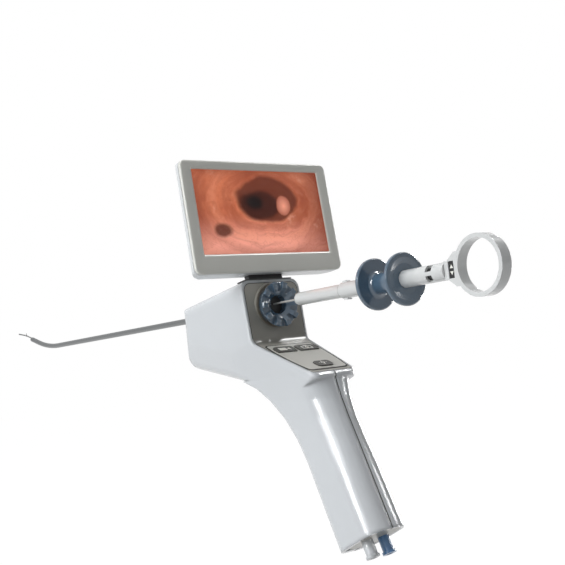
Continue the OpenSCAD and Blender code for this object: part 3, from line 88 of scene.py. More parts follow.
class Graph:
    """Short names for making and wiring shader nodes."""

    def __init__(self, tree):
        self.tree = tree

    def add(self, kind, **values):
        node = self.tree.nodes.new("ShaderNode" + kind)
        for name, value in values.items():
            setattr(node, name, value)
        return node

    def put(self, socket, value):
        if isinstance(value, bpy.types.NodeSocket):
            self.tree.links.new(value, socket)
        else:
            socket.default_value = value

    def math(self, operation, a, b=0.0, clamp=False):
        node = self.add("Math", operation=operation, use_clamp=clamp)
        self.put(node.inputs[0], a)
        self.put(node.inputs[1], b)
        return node.outputs[0]

    def mix(self, factor, a, b, blend="MIX"):
        node = self.add("Mix", data_type="RGBA", blend_type=blend)
        self.put(node.inputs[0], factor)
        self.put(node.inputs[6], a)
        self.put(node.inputs[7], b)
        return node.outputs[2]

    def spread(self, value, low, high, to_low, to_high, smooth=False):
        node = self.add("MapRange")
        if smooth:
            node.interpolation_type = "SMOOTHSTEP"
        self.put(node.inputs[0], value)
        for i, v in enumerate((low, high, to_low, to_high)):
            node.inputs[i + 1].default_value = v
        return node.outputs[0]

    def place(self, stretch=(1, 1, 1)):
        node = self.add("Mapping")
        node.inputs["Scale"].default_value = stretch
        coords = self.add("TexCoord")
        self.tree.links.new(coords.outputs["Object"], node.inputs[0])
        return node.outputs[0]

    def noise(self, scale, detail=2.0, where=None, rough=0.5):
        node = self.add("TexNoise")
        node.inputs["Scale"].default_value = scale
        node.inputs["Detail"].default_value = detail
        node.inputs["Roughness"].default_value = rough
        self.put(node.inputs["Vector"], where if where is not None else self.place())
        return node.outputs["Fac"]

    def bump(self, height, distance, strength=1.0, normal=None):
        node = self.add("Bump")
        node.inputs["Strength"].default_value = strength
        node.inputs["Distance"].default_value = distance
        self.put(node.inputs["Height"], height)
        if normal is not None:
            self.put(node.inputs["Normal"], normal)
        return node.outputs[0]


def new_material(name):
    material = bpy.data.materials.new(name)
    material.use_nodes = True
    tree = material.node_tree
    shader = tree.nodes["Principled BSDF"]
    return material, Graph(tree), shader


def moulded(name, colour, rough, grain=900, grain_depth=0.02, tint=0.05, crevice_shade=0.1, specular=0.5,
            coat=0.0, coat_rough=0.1, rough_range=0.04, edge=0.25, painted_shade=None):
    """Moulded plastic: fine grain, faint tone drift, painted shade in the crevices, softened edges."""
    material, g, shader = new_material(name)
    drift = g.noise(22, 3)
    speckle = g.noise(grain, 2)
    light = tuple(min(1, c * (1 + tint)) for c in colour[:3]) + (1,)
    deep = tuple(c * (1 - tint) for c in colour[:3]) + (1,)
    base = g.mix(g.spread(drift, 0.3, 0.7, 0, 1), deep, light)
    base = g.mix(g.spread(speckle, 0.3, 0.7, 0, tint), base, deep, "MULTIPLY")
    # Painted shade: the base colour turns towards a deeper copy where an occlusion test finds nearby
    # surfaces, in creases and gaps.
    crevice = g.add("AmbientOcclusion", samples=6)
    crevice.inputs["Distance"].default_value = 2.5 * MM
    shade_in_crevices = g.spread(crevice.outputs["AO"], 0.35, 0.9, crevice_shade, 0)
    base = g.mix(shade_in_crevices, base, tuple(c * 0.45 for c in colour[:3]) + (1,))
    # Optional painted shade or shadow, laid over the base colour.
    if painted_shade is not None:
        base = painted_shade(g, base)
    g.put(shader.inputs["Base Color"], base)
    smear = g.noise(55, 4)
    uneven = g.spread(smear, 0.3, 0.7, rough - rough_range, rough + rough_range)
    g.put(shader.inputs["Roughness"], uneven)
    shader.inputs["Specular IOR Level"].default_value = specular
    shader.inputs["Coat Weight"].default_value = coat
    shader.inputs["Coat Roughness"].default_value = coat_rough
    soft = g.add("Bevel", samples=6)
    soft.inputs["Radius"].default_value = edge * MM
    g.put(shader.inputs["Normal"], g.bump(speckle, grain_depth * MM, 0.5, soft.outputs[0]))
    g.put(shader.inputs["Coat Normal"], soft.outputs[0])
    return material


# Where the painted shadow on the rear cover, round and under the knob, deepens, in the frame's
# millimetres, and how much
SHADE_HIGH = 12
SHADE_LOW = -9
SHADE_BEHIND = -106
SHADE_BEFORE = -101
SHADE_SHARE = 0.4


def painted_knob_shadow(g, base):
    """Painted shadow: deeper tone on the rear face around and under the knob, where the knob shades it.
    """
    split = g.add("SeparateXYZ")
    coords = g.add("TexCoord")
    g.put(split.inputs[0], coords.outputs["Object"])
    low = g.spread(split.outputs["Z"], SHADE_HIGH * MM, SHADE_LOW * MM, 0, 1, True)
    rear = g.spread(split.outputs["Y"], SHADE_BEHIND * MM, SHADE_BEFORE * MM, 0, 1, True)
    deep = g.math("MULTIPLY", g.math("MULTIPLY", low, rear), SHADE_SHARE)
    return g.mix(deep, base, (0.012, 0.012, 0.012, 1))


def metal(name, colour, rough, brush=(900, 30, 900), depth=0.01, tint=0.06):
    """Drawn or ground metal with fine lines along one way."""
    material, g, shader = new_material(name)
    lines = g.noise(1, 3, g.place(brush), 0.6)
    cloud = g.noise(35, 3)
    light = tuple(min(1, c * (1 + tint)) for c in colour[:3]) + (1,)
    deep = tuple(c * (1 - tint) for c in colour[:3]) + (1,)
    base = g.mix(g.spread(lines, 0.3, 0.7, 0, 1), deep, light)
    base = g.mix(g.spread(cloud, 0.35, 0.75, 0, 0.25), base, deep)
    g.put(shader.inputs["Base Color"], base)
    shader.inputs["Metallic"].default_value = 1
    g.put(shader.inputs["Roughness"], g.spread(lines, 0.3, 0.7, rough - 0.05, rough + 0.08))
    g.put(shader.inputs["Normal"], g.bump(lines, depth * MM, 0.6))
    return material


def picture_material():
    """Lit picture of a soft tissue cavity, of a general kind: folds, one dark passage, fine vessels."""
    material, g, shader = new_material("lit_picture")
    coords = g.add("TexCoord")
    split = g.add("SeparateXYZ")
    g.put(split.inputs[0], coords.outputs["Object"])
    across = g.math("DIVIDE", split.outputs["X"], PICTURE_HALF_WIDTH * MM)
    low = (PICTURE_CENTRE[1] - PICTURE_HALF_HEIGHT) * MM
    high = (PICTURE_CENTRE[1] + PICTURE_HALF_HEIGHT) * MM
    up = g.spread(split.outputs["Z"], low, high, -1, 1)
    flat = g.add("CombineXYZ")
    g.put(flat.inputs[0], across)
    g.put(flat.inputs[1], g.math("MULTIPLY", up, 0.56))
    soft = g.noise(1.6, 3, flat.outputs[0])
    bend = g.math("MULTIPLY", g.math("SUBTRACT", soft, 0.5), 0.35)

    def passage(x, y, wide, tall, inner, outer, wander=1.0):
        """Distance from an oval's middle in its own radii, and a soft mask of the oval."""
        dx = g.math("ADD", g.math("SUBTRACT", across, x), g.math("MULTIPLY", bend, wander))
        dy = g.math("SUBTRACT", g.math("SUBTRACT", up, y), g.math("MULTIPLY", bend, wander))
        dx, dy = g.math("DIVIDE", dx, wide), g.math("DIVIDE", dy, tall)
        far = g.math("SQRT", g.math("ADD", g.math("MULTIPLY", dx, dx), g.math("MULTIPLY", dy, dy)))
        return far, g.spread(far, inner, outer, 1, 0, True)

    tissue = g.mix(g.spread(soft, 0.25, 0.75, 0, 1), srgb(168, 82, 54), srgb(214, 122, 86))
    base = g.mix(g.spread(up, -1, 0.05, 1, 0, True), tissue, srgb(250, 170, 150))
    base = g.mix(g.spread(across, 0.25, 1.1, 0, 0.7, True), base, srgb(126, 62, 46))
    fold, _ = passage(0.1, 0.25, 0.62, 0.72, 0, 1)
    rings = g.math("SINE", g.math("MULTIPLY", g.math("ADD", fold, g.math("MULTIPLY", bend, 1.2)), 8.0))
    base = g.mix(g.math("MULTIPLY", g.spread(rings, 0.1, 1, 0, 0.34), g.spread(fold, 3.2, 1.0, 0, 1)),
                 base, srgb(134, 62, 40))
    base = g.mix(g.math("MULTIPLY", g.spread(rings, -0.2, -1, 0, 0.2), g.spread(fold, 2.6, 1.0, 0, 1)),
                 base, srgb(240, 160, 126))
    turn = g.math("ARCTAN2", g.math("SUBTRACT", up, 0.25), g.math("SUBTRACT", across, 0.1))
    grain = g.add("CombineXYZ")
    g.put(grain.inputs[0], g.math("MULTIPLY", g.math("ADD", fold, bend), 5.0))
    g.put(grain.inputs[1], g.math("MULTIPLY", turn, 1.3))
    fibre = g.noise(1.4, 6, grain.outputs[0], 0.65)
    base = g.mix(g.spread(fibre, 0.5, 0.8, 0, 0.3), base, srgb(246, 164, 130))
    base = g.mix(g.spread(fibre, 0.5, 0.25, 0, 0.4), base, srgb(132, 56, 38))
    vein = g.noise(7, 5, flat.outputs[0], 0.62)
    line = g.spread(g.math("ABSOLUTE", g.math("SUBTRACT", vein, 0.5)), 0.0, 0.02, 0.25, 0)
    base = g.mix(line, base, srgb(154, 58, 44))
    wet = g.noise(3.2, 5, flat.outputs[0], 0.6)
    base = g.mix(g.spread(wet, 0.6, 0.8, 0, 0.35, True), base, srgb(255, 206, 180))
    _, hollow = passage(0.12, 0.3, 0.5, 0.62, 0.82, 1.04)
    base = g.mix(g.math("MULTIPLY", hollow, 0.9), base, srgb(92, 38, 24))
    _, shelf = passage(-0.02, 0.16, 0.34, 0.42, 0.7, 1.05, 0.7)
    base = g.mix(g.math("MULTIPLY", shelf, 0.85), base, srgb(52, 18, 12))
    _, core = passage(-0.1, 0.24, 0.18, 0.26, 0.3, 1.05, 0.5)
    base = g.mix(g.math("MULTIPLY", core, 0.95), base, srgb(16, 6, 6))
    bulge, lobe = passage(0.36, 0.16, 0.13, 0.27, 0.8, 1.0, 0.3)
    base = g.mix(lobe, base, g.mix(g.spread(bulge, 0, 1, 0, 1), srgb(236, 158, 132), srgb(160, 84, 64)))
    _, second = passage(-0.66, -0.42, 0.17, 0.2, 0.5, 1.05, 0.6)
    base = g.mix(g.math("MULTIPLY", second, 0.85), base, srgb(72, 28, 18))
    edge = g.math("MAXIMUM", g.math("ABSOLUTE", across), g.math("ABSOLUTE", up))
    base = g.mix(g.spread(edge, 0.7, 1.05, 0, 0.4, True), base, srgb(118, 58, 46))
    g.put(shader.inputs["Base Color"], g.mix(0.93, base, (0, 0, 0, 1)))
    g.put(shader.inputs["Emission Color"], base)
    shader.inputs["Emission Strength"].default_value = 0.92
    shader.inputs["Roughness"].default_value = 0.5
    shader.inputs["Specular IOR Level"].default_value = 0.1
    return material


# Display frame of the source, in millimetres: half sizes of the picture, its pivot and its lean
PICTURE_HALF_WIDTH = 47.9
PICTURE_HALF_HEIGHT = 27.0
PIVOT = (-87.4, 24.3)
DISPLAY_LEAN = math.radians(6.2)
PIVOT_DEPTH = 12.228
PIVOT_DROP = 34.139
PICTURE_CENTRE = (
    PIVOT[0] - PIVOT_DEPTH * math.cos(DISPLAY_LEAN) + PIVOT_DROP * math.sin(DISPLAY_LEAN),
    PIVOT[1] + PIVOT_DEPTH * math.sin(DISPLAY_LEAN) + PIVOT_DROP * math.cos(DISPLAY_LEAN),
)
DISPLAY = Matrix.Translation((0, PICTURE_CENTRE[0] * MM, PICTURE_CENTRE[1] * MM)) @ Matrix.Rotation(
    -DISPLAY_LEAN, 4, "X"
)

# Deck frame of the source: the rear face, the thumb deck's fall and the fold between them
REAR_Y = -97.4
REAR_LEAN = math.radians(7.2)
DECK_FALL = math.radians(23)
DECK_Y = -145.4
DECK_Z = -41.7
FOLD_Z = (DECK_Z + math.tan(DECK_FALL) * (REAR_Y - DECK_Y)) / (
    1 - math.tan(DECK_FALL) * math.tan(REAR_LEAN)
)
FOLD_Y = REAR_Y + math.tan(REAR_LEAN) * FOLD_Z
DECK = Matrix.Translation((0, FOLD_Y * MM, FOLD_Z * MM)) @ Matrix.Rotation(DECK_FALL, 4, "X")

SHELL = moulded("shell_plastic", srgb(217, 220, 223), 0.2, 1400, 0.003, 0.012, 0.1, coat=0.6,
                coat_rough=0.06, rough_range=0.015, edge=3.2)
# Rear cover plastic, with a painted shadow round and under the knob.
COVER = moulded("cover_plastic", srgb(180, 177, 168), 0.3, 1500, 0.015, 0.03, 0.25, edge=0.4,
                painted_shade=painted_knob_shadow)
LABEL = moulded("label_film", srgb(214, 212, 204), 0.34, 2600, 0.008, 0.03, 0.2, edge=0.1)
KEY = moulded("key_plastic", srgb(92, 91, 86), 0.42, 2200, 0.015, 0.07, 0.3, specular=0.25, edge=0.12)
ICON = moulded("icon_print", srgb(250, 248, 240), 0.4, 3000, 0.004, 0.03, 0.0, edge=0.03)
LINE = moulded("dark_groove", srgb(52, 51, 48), 0.5, 2500, 0.01, 0.1, 0.0, specular=0.2, edge=0.05)
# Bearing ring: its own tan plastic, darkened to paint the shadow ring that falls round the knob.
SHADOWED_RING = moulded("ring_plastic", srgb(112, 104, 92), 0.36, 1600, 0.012, 0.05, 0.3)
BEZEL = moulded("display_satin", srgb(234, 233, 225), 0.34, 1900, 0.012, 0.02, 0.2, edge=0.3)
EDGE = moulded("display_shell", srgb(230, 232, 233), 0.25, 1900, 0.008, 0.012, 0.2, coat=0.3, edge=0.5)
BLUE = moulded("slate_blue", srgb(78, 104, 126), 0.18, 1300, 0.01, 0.1, 0.5, coat=1.0,
               coat_rough=0.05, edge=0.7)
TOOL = moulded("tool_white", srgb(226, 227, 226), 0.18, 1300, 0.003, 0.012, 0.15, coat=0.7,
               coat_rough=0.05, edge=0.3)
BLACK = moulded("black_plastic", srgb(34, 34, 36), 0.3, 1500, 0.015, 0.15, 0.1)
DOCK = moulded("dock_grey", srgb(74, 74, 73), 0.36, 1500, 0.015, 0.1, 0.1, edge=0.2)
RUBBER = moulded("black_rubber", srgb(24, 24, 25), 0.6, 1800, 0.03, 0.15, 0.1)
BOARD = moulded("green_board", srgb(24, 84, 52), 0.4, 2400, 0.01, 0.12, 0.2)
NATURAL = moulded("natural_polymer", srgb(222, 220, 210), 0.35, 1200, 0.01, 0.04, 0.2)
TUBING = moulded("fluid_tubing", srgb(190, 208, 216), 0.3, 1200, 0.01, 0.05, 0.2)
PORT_BLUE = moulded("port_blue", srgb(92, 140, 190), 0.28, 1200, 0.01, 0.06, 0.25, coat=0.5)
CELL = moulded("cell_wrap", srgb(82, 88, 98), 0.4, 1500, 0.02, 0.1, 0.2)
SHEATH = moulded("shaft_sheath", srgb(206, 203, 199), 0.35, 2600, 0.004, 0.03, 0.0, edge=0.05)
LAMP = moulded("lamp_lens", srgb(246, 246, 232), 0.12, 4000, 0.002, 0.03, 0.05, coat=0.8, edge=0.05)
WIRE = moulded("wire_cover", srgb(176, 110, 40), 0.4, 3000, 0.01, 0.1, 0.1, edge=0.05)
STEEL = metal("drawn_steel", srgb(126, 128, 129), 0.3)
PIN_STEEL = metal("turned_steel", srgb(200, 200, 200), 0.26, (30, 700, 700))
BRASS = metal("plated_brass", srgb(208, 168, 88), 0.28, (60, 1200, 1200))
PICTURE = picture_material()


def glass_material():
    material, g, shader = new_material("cover_glass")
    shader.inputs["Base Color"].default_value = (0.96, 0.97, 0.97, 1)
    shader.inputs["Transmission Weight"].default_value = 1
    shader.inputs["IOR"].default_value = 1.06
    g.put(shader.inputs["Roughness"], g.spread(g.noise(40, 4), 0.3, 0.7, 0.0, 0.03))
    return material


GLASS = glass_material()

FINISH = {
    SHELL: "left_shell right_shell nose_collar inflow_port",
    COVER: "rear_cover base_plug",
    LABEL: "keypad_label",
    KEY: "video_button photo_button light_button power_button",
    SHADOWED_RING: "bearing_ring",
    BEZEL: "display_bezel",
    EDGE: "display_back",
    BLUE: "rotation_knob shaft_hub finger_spool",
    TOOL: "tool_nose tool_barrel thumb_ring",
    BLACK: "dock_connector hinge_knuckle neck_insert tool_anchor camera_module",
    DOCK: "dock_plate hinge_block",
    RUBBER: "hub_orings channel_seal",
    BOARD: "keypad_board main_board display_board",
    NATURAL: "fluid_manifold channel_liner",
    TUBING: "inflow_tube outflow_tube",
    PORT_BLUE: "outflow_port",
    CELL: "battery_pack",
    LAMP: "tip_lamps",
    WIRE: "camera_wire",
    SHEATH: "tool_shaft",
    STEEL: "rigid_tube tip_cap drive_core pull_rod tip_shaft jaw_clevis left_jaw right_jaw",
    PIN_STEEL: "switch_domes shell_screws hinge_pin display_screws cross_bar swivel_pin jaw_pin",
    BRASS: "contact_rings",
    PICTURE: "display_panel",
    GLASS: "cover_glass",
}
for material, names in FINISH.items():
    for name in names.split():
        mesh = NODES[name].data
        mesh.materials.clear()
        mesh.materials.append(material)


# Mesh helpers. Outlines are lists of (x, y) in millimetres
def corner(a, b, c, r, steps):
    """Points of a rounding of radius r at corner b between a and c."""
    a, b, c = (Vector(p) for p in (a, b, c))
    if r <= 0:
        return [tuple(b)]
    u, w = (a - b).normalized(), (c - b).normalized()
    half = math.acos(max(-1, min(1, u.dot(w)))) / 2
    hub = b + (u + w).normalized() * (r / math.sin(half))
    first = b + u * (r / math.tan(half)) - hub
    last = b + w * (r / math.tan(half)) - hub
    start = math.atan2(first.y, first.x)
    turn = (math.atan2(last.y, last.x) - start + math.pi * 3) % (math.pi * 2) - math.pi
    return [
        (hub.x + r * math.cos(start + turn * i / steps), hub.y + r * math.sin(start + turn * i / steps))
        for i in range(steps + 1)
    ]


def rounded(points, radii, steps=6):
    """Outline of corner points, each rounded by its own radius."""
    count = len(points)
    out = []
    for i, p in enumerate(points):
        out += corner(points[i - 1], p, points[(i + 1) % count], radii[i], steps)
    return out


def box_outline(x0, x1, y0, y1, r, steps=6):
    """A rectangle with rounded corners."""
    return rounded([(x1, y0), (x1, y1), (x0, y1), (x0, y0)], [r] * 4, steps)


def make(name, verts, faces, material, body, matrix=Matrix.Identity(4), smooth=35):
    """A piece from points in millimetres in the frame that matrix gives."""
    mesh = bpy.data.meshes.new(name)
    mesh.from_pydata([matrix @ (Vector(v) * MM) for v in verts], [], faces)
    mesh.validate()
    b = bmesh.new()
    b.from_mesh(mesh)
    bmesh.ops.recalc_face_normals(b, faces=b.faces)
    b.to_mesh(mesh)
    b.free()
    mesh.materials.append(material)
    for p in mesh.polygons:
        p.use_smooth = True
    mesh.set_sharp_from_angle(angle=math.radians(smooth))
    piece = bpy.data.objects.new(name, mesh)
    bpy.context.scene.collection.objects.link(piece)
    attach(piece, body)
    return piece


def loft(rings, closed=False):
    """Verts and faces of rings of equal length, joined in order, with flat ends if not closed."""
    n = len(rings[0])
    verts = [p for ring in rings for p in ring]
    faces = []
    spans = len(rings) if closed else len(rings) - 1
    for i in range(spans):
        j = (i + 1) % len(rings)
        for k in range(n):
            m = (k + 1) % n
            faces.append((i * n + k, i * n + m, j * n + m, j * n + k))
    if not closed:
        faces.append(tuple(range(n)))
        faces.append(tuple(range((len(rings) - 1) * n, len(rings) * n)))
    return verts, faces


def plate(outline, low, high):
    """A flat plate of an outline between two heights."""
    return loft([[(x, y, low) for x, y in outline], [(x, y, high) for x, y in outline]])


def band(outer, inner, low, high):
    """A flat frame between two outlines of equal length."""
    rings = [
        [(x, y, low) for x, y in outer],
        [(x, y, high) for x, y in outer],
        [(x, y, high) for x, y in inner],
        [(x, y, low) for x, y in inner],
    ]
    return loft(rings, closed=True)


# Display bezel with rounded outer edges and a bevelled inner lip
FRAME_HALF = 55.7
FRAME_HEIGHT = 71.8
FRAME_DROP = 39.05
FRAME_ROUND = 4.2
BEZEL_FRONT = -0.8
BEZEL_BACK = 1.3
BEZEL_EDGE = 1.1
EDGE_STEPS = 6
# Inset and depth of the rings round the frame's back edge
BACK_PROFILE = (
    (0.5, BEZEL_BACK),
    (0.12, BEZEL_BACK - 0.12),
    (0, BEZEL_BACK - 0.4),
)
# Distance outside the picture, depth and corner radius of the rings from the lip to the back
LIP_PROFILE = (
    (1.15, BEZEL_FRONT, 1.4),
    (0.95, BEZEL_FRONT + 0.06, 1.2),
    (0.12, -0.35, 0.8),
    (0.0, -0.2, 0.7),
    (0.0, -0.02, 0.7),
    (0.6, -0.02, 1.2),
    (0.6, BEZEL_BACK - 0.4, 1.2),
)


def frame_ring(inset, depth):
    """The frame's outline, moved inwards by inset, at a depth behind the picture's plane."""
    pts = box_outline(-FRAME_HALF + inset, FRAME_HALF - inset, -FRAME_DROP + inset,
                      FRAME_HEIGHT - FRAME_DROP - inset, max(0.6, FRAME_ROUND - inset), 8)
    return [(x, depth, z) for x, z in pts]


def picture_ring(grow, depth, r):
    """The picture's outline, moved outwards by grow, at a depth behind the picture's plane."""
    pts = box_outline(-PICTURE_HALF_WIDTH - grow, PICTURE_HALF_WIDTH + grow,
                      -PICTURE_HALF_HEIGHT - grow, PICTURE_HALF_HEIGHT + grow, r, 8)
    return [(x, depth, z) for x, z in pts]


def bezel():
    rings = [frame_ring(*stage) for stage in BACK_PROFILE]
    for i in range(EDGE_STEPS + 1):
        t = math.radians(90 * i / EDGE_STEPS)
        inset, rise = BEZEL_EDGE * (1 - math.cos(t)), BEZEL_EDGE * (1 - math.sin(t))
        rings.append(frame_ring(inset, BEZEL_FRONT + rise))
    rings += [picture_ring(*stage) for stage in LIP_PROFILE]
    verts, faces = loft(rings, closed=True)
    piece = make("bezel_frame", verts, faces, BEZEL, "monitor", DISPLAY, 50)
    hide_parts("display_bezel")
    return piece


bezel()

# Keypad: printed outline of the label and raised marks on the keys
KEY_TOP = 0.9
LABEL_HALF = [(16.4, -8.0), (17.0, -19.0), (16.4, -30.0), (15.3, -40.0), (13.4, -49.5)]
LABEL_ROUND = [2.0, 10.0, 10.0, 10.0, 3.0]


def offset(points, grow):
    """Outline of straight sides moved by grow, outwards if it runs counter-clockwise."""
    out = []
    count = len(points)
    for i in range(count):
        a, b, c = (Vector(points[(i + k - 1) % count]) for k in range(3))
        u, w = (b - a).normalized(), (c - b).normalized()
        n0, n1 = Vector((u.y, -u.x)), Vector((w.y, -w.x))
        n = (n0 + n1).normalized()
        out.append(tuple(b + n * (grow / n.dot(n0))))
    return out


def label_outline(grow):
    """The label's outline, which runs clockwise, moved outwards by grow."""
    right = list(LABEL_HALF)
    left = [(-x, y) for x, y in reversed(right)]
    return rounded(offset(right + left, -grow), [r + grow for r in LABEL_ROUND + LABEL_ROUND[::-1]], 8)


# Distance of the printed line's edges outside the label, and its lower and upper face
LINE_OUTER = 1.2
LINE_INNER = 0.02
LINE_LOW = -0.15
LINE_HIGH = 0.12
verts, faces = band(label_outline(LINE_OUTER), label_outline(LINE_INNER), LINE_LOW, LINE_HIGH)
make("label_line", verts, faces, LINE, "handpiece", DECK)


MARK_SCALE = 1.45
LAMP_MARK_SCALE = 1.15
MARK_RISE = 0.05


def mark(name, outlines, centre, body, scale=MARK_SCALE):
    """Raised marks on a key's top, from several flat outlines."""
    verts, faces = [], []
    for outline in outlines:
        if len(outline) == 2:
            v, f = band(*outline, KEY_TOP - MARK_RISE, KEY_TOP + MARK_RISE)
        else:
            v, f = plate(outline, KEY_TOP - MARK_RISE, KEY_TOP + MARK_RISE)
        start = len(verts)
        verts += [(x * scale + centre[0], y * scale + centre[1], z) for x, y, z in v]
        faces += [tuple(i + start for i in face) for face in f]
    return make(name, verts, faces, ICON, body, DECK)


def ring_points(x, y, r, count=28):
    return [
        (x + r * math.cos(i * math.tau / count), y + r * math.sin(i * math.tau / count))
        for i in range(count)
    ]


mark(
    "film_mark",
    [box_outline(-2.9, 0.9, -1.35, 1.35, 0.4), [(1.2, 0.0), (2.9, 1.2), (2.9, -1.2)]],
    (-8.3, -16.1),
    "left_key",
)
mark(
    "still_mark",
    [
        (box_outline(-2.7, 2.7, -1.7, 1.2, 0.5), box_outline(-2.2, 2.2, -1.25, 0.75, 0.3)),
        box_outline(-1.0, 1.0, 1.25, 1.75, 0.2),
        (ring_points(0, -0.25, 0.85), ring_points(0, -0.25, 0.45)),
    ],
    (8.3, -16.1),
    "right_key",
)
mark(
    "lamp_mark",
    [
        (ring_points(0, 0.55, 1.15), ring_points(0, 0.55, 0.75)),
        box_outline(-0.6, 0.6, -1.1, -0.75, 0.1),
        box_outline(-0.45, 0.45, -1.75, -1.4, 0.1),
        box_outline(-2.6, -1.7, 0.4, 0.7, 0.1),
        box_outline(1.7, 2.6, 0.4, 0.7, 0.1),
        box_outline(-0.15, 0.15, 2.1, 2.9, 0.1),
    ],
    (0.7, -43.0),
    "lower_key",
    LAMP_MARK_SCALE,
)


# Two white arrow marks on the dark neck insert, as shares of its half width and height
ARROW_HALF = 0.62
ARROW_TIP = 0.62
ARROW_BASE = 0.18
ARROW_THICK = 0.09
ARROW_SINK = 0.05


def insert_marks():
    low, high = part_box("neck_insert")
    middle = ((low[1] + high[1]) / 2 / MM, (low[2] + high[2]) / 2 / MM)
    half = (high[1] - low[1]) / 2 / MM * ARROW_HALF
    tall = (high[2] - low[2]) / 2 / MM
    verts, faces = [], []
    for up in (-1, 1):
        tip = middle[1] + up * tall * ARROW_TIP
        base = middle[1] + up * tall * ARROW_BASE
        outline = [(middle[0] - half, base), (middle[0] + half, base), (middle[0], tip)]
        v, f = plate(outline, 0, ARROW_THICK)
        start = len(verts)
        verts += [(low[0] / MM + ARROW_SINK - z, x, y) for x, y, z in v]
        faces += [tuple(i + start for i in face) for face in f]
    make("insert_marks", verts, faces, ICON, "thumb_grip")


insert_marks()

# Dark gap between the rear cover and the shells' rim, on the deck and up the rear face
HEAD_HALF = 21.9
LIP_HALF = 16.0
LIP_Y = -151.5
COVER_RIM = 1.7
COVER_LIP_Y = -149.0
COVER_TOP = 14.5
COVER_CORNER = 5.0


def cover_half(y):
    """Half width of the cover at a place along the frame's Y."""
    return HEAD_HALF - (REAR_Y - min(y, REAR_Y)) * (HEAD_HALF - LIP_HALF) / (REAR_Y - LIP_Y) - COVER_RIM


GAP_WIDTH = 0.34
GAP_LIFT = 0.03
GAP_SINK = 0.12
GAP_SHIFT = 0.1
FOLD_CLEAR = 0.3


def strip(name, path, matrix):
    """A flat dark line along a path of (x, y), lifted a little off the frame's plane."""
    left, right = [], []
    for i, p in enumerate(path):
        a = Vector(path[max(i - 1, 0)])
        b = Vector(path[min(i + 1, len(path) - 1)])
        way = (b - a).normalized()
        side = Vector((-way.y, way.x)) * GAP_WIDTH / 2
        left.append((p[0] + side.x, p[1] + side.y))
        right.append((p[0] - side.x, p[1] - side.y))
    verts, faces = plate(left + right[::-1], -GAP_SINK, GAP_LIFT)
    count = len(path)
    quads = [f for f in faces if len(f) == 4]
    for level in (0, 2 * count):
        quads += [
            (level + i, level + i + 1, level + 2 * count - 2 - i, level + 2 * count - 1 - i)
            for i in range(count - 1)
        ]
    return make(name, verts, quads, LINE, "handpiece", matrix)


def cover_lines():
    fall = math.cos(DECK_FALL)
    lip = (COVER_LIP_Y - FOLD_Y) / fall
    lip_half = cover_half(COVER_LIP_Y)
    path = [(cover_half(FOLD_Y) + GAP_SHIFT, -FOLD_CLEAR)]
    path += corner(path[0], (lip_half + GAP_SHIFT, lip - GAP_SHIFT), (0, lip - GAP_SHIFT), COVER_RIM, 6)
    path += [(-x, y) for x, y in reversed(path)]
    strip("deck_gap", path, DECK)
    rear = Matrix.Translation((0, REAR_Y * MM, 0)) @ Matrix.Rotation(-REAR_LEAN, 4, "X")
    rear = rear @ Matrix.Rotation(math.radians(90), 4, "X")
    slope = math.cos(REAR_LEAN)
    half = HEAD_HALF - COVER_RIM + GAP_SHIFT
    top = COVER_TOP / slope + GAP_SHIFT
    path = [(half, FOLD_Z / slope + FOLD_CLEAR)]
    path += corner(path[0], (half, top), (0, top), COVER_CORNER, 8)
    path += [(-x, y) for x, y in reversed(path)]
    strip("rear_gap", path, rear)


cover_lines()


# Dark parting line where the two shells meet. Only walls of at least this height get one.
WALL_LEAST = 0.03
SEAM_HALF = 0.27
SEAM_LIFT = 0.04
SEAM_SINK = 0.2


def shell_walls():
    """Outlines of the walls in the left shell's flat meeting face, as lists of (y, z) in metres."""
    source = bmesh.new()
    source.from_mesh(NODES["left_shell"].data)
    bmesh.ops.remove_doubles(source, verts=source.verts, dist=1e-6)
    links, place = {}, {}
    for e in source.edges:
        flat = [f for f in e.link_faces if all(abs(v.co.x) < 1e-6 for v in f.verts)]
        if len(flat) == 1:
            p, q = e.verts
            for a, b in ((p, q), (q, p)):
                links.setdefault(a.index, []).append(b.index)
                place[a.index] = Vector((a.co.y, a.co.z))
    source.free()
    walls = []
    left = set(links)
    while left:
        start = max(left, key=lambda k: (place[k].x, place[k].y))
        here, way, loop = start, Vector((1, 0)), []
        while True:
            loop.append(here)

            def bend(k):
                turn = way.angle_signed(place[k] - place[here], 0)
                return -math.pi if abs(abs(turn) - math.pi) < 1e-4 else -turn

            ahead = max(links[here], key=bend)
            way = place[ahead] - place[here]
            here = ahead
            if here == start or len(loop) > len(links):
                break
        left -= set(loop)
        path = [tuple(place[k]) for k in loop]
        tall = max(p[1] for p in path) - min(p[1] for p in path)
        if tall > WALL_LEAST:
            walls.append(path)
    return walls


def seam(name, outer):
    """A dark line of square section that follows a closed outline of (y, z) in metres."""
    area = sum(a[0] * b[1] - b[0] * a[1] for a, b in zip(outer, outer[1:] + outer[:1]))
    if area < 0:
        outer = outer[::-1]
    count = len(outer)
    section = (
        (-SEAM_HALF, SEAM_LIFT),
        (SEAM_HALF, SEAM_LIFT),
        (SEAM_HALF, -SEAM_SINK),
        (-SEAM_HALF, -SEAM_SINK),
    )
    verts, faces = [], []
    for i, p in enumerate(outer):
        a, b, c = Vector(outer[i - 1]), Vector(p), Vector(outer[(i + 1) % count])
        u, w = (b - a).normalized(), (c - b).normalized()
        n = Vector((u.y + w.y, -u.x - w.x))
        n = n.normalized() if n.length > 1e-6 else Vector((u.y, -u.x))
        for x, out in section:
            verts.append((x, b.x / MM + n.x * out, b.y / MM + n.y * out))
    for i in range(count):
        j = (i + 1) % count
        for k in range(4):
            m = (k + 1) % 4
            faces.append((i * 4 + k, i * 4 + m, j * 4 + m, j * 4 + k))
    make(name, verts, faces, LINE, "handpiece")


for i, wall in enumerate(shell_walls()):
    seam("parting_line_%d" % (i + 1), wall)


# Floor, world and lamps
FLOOR_Z = -0.25
FLOOR_HALF = 6.0


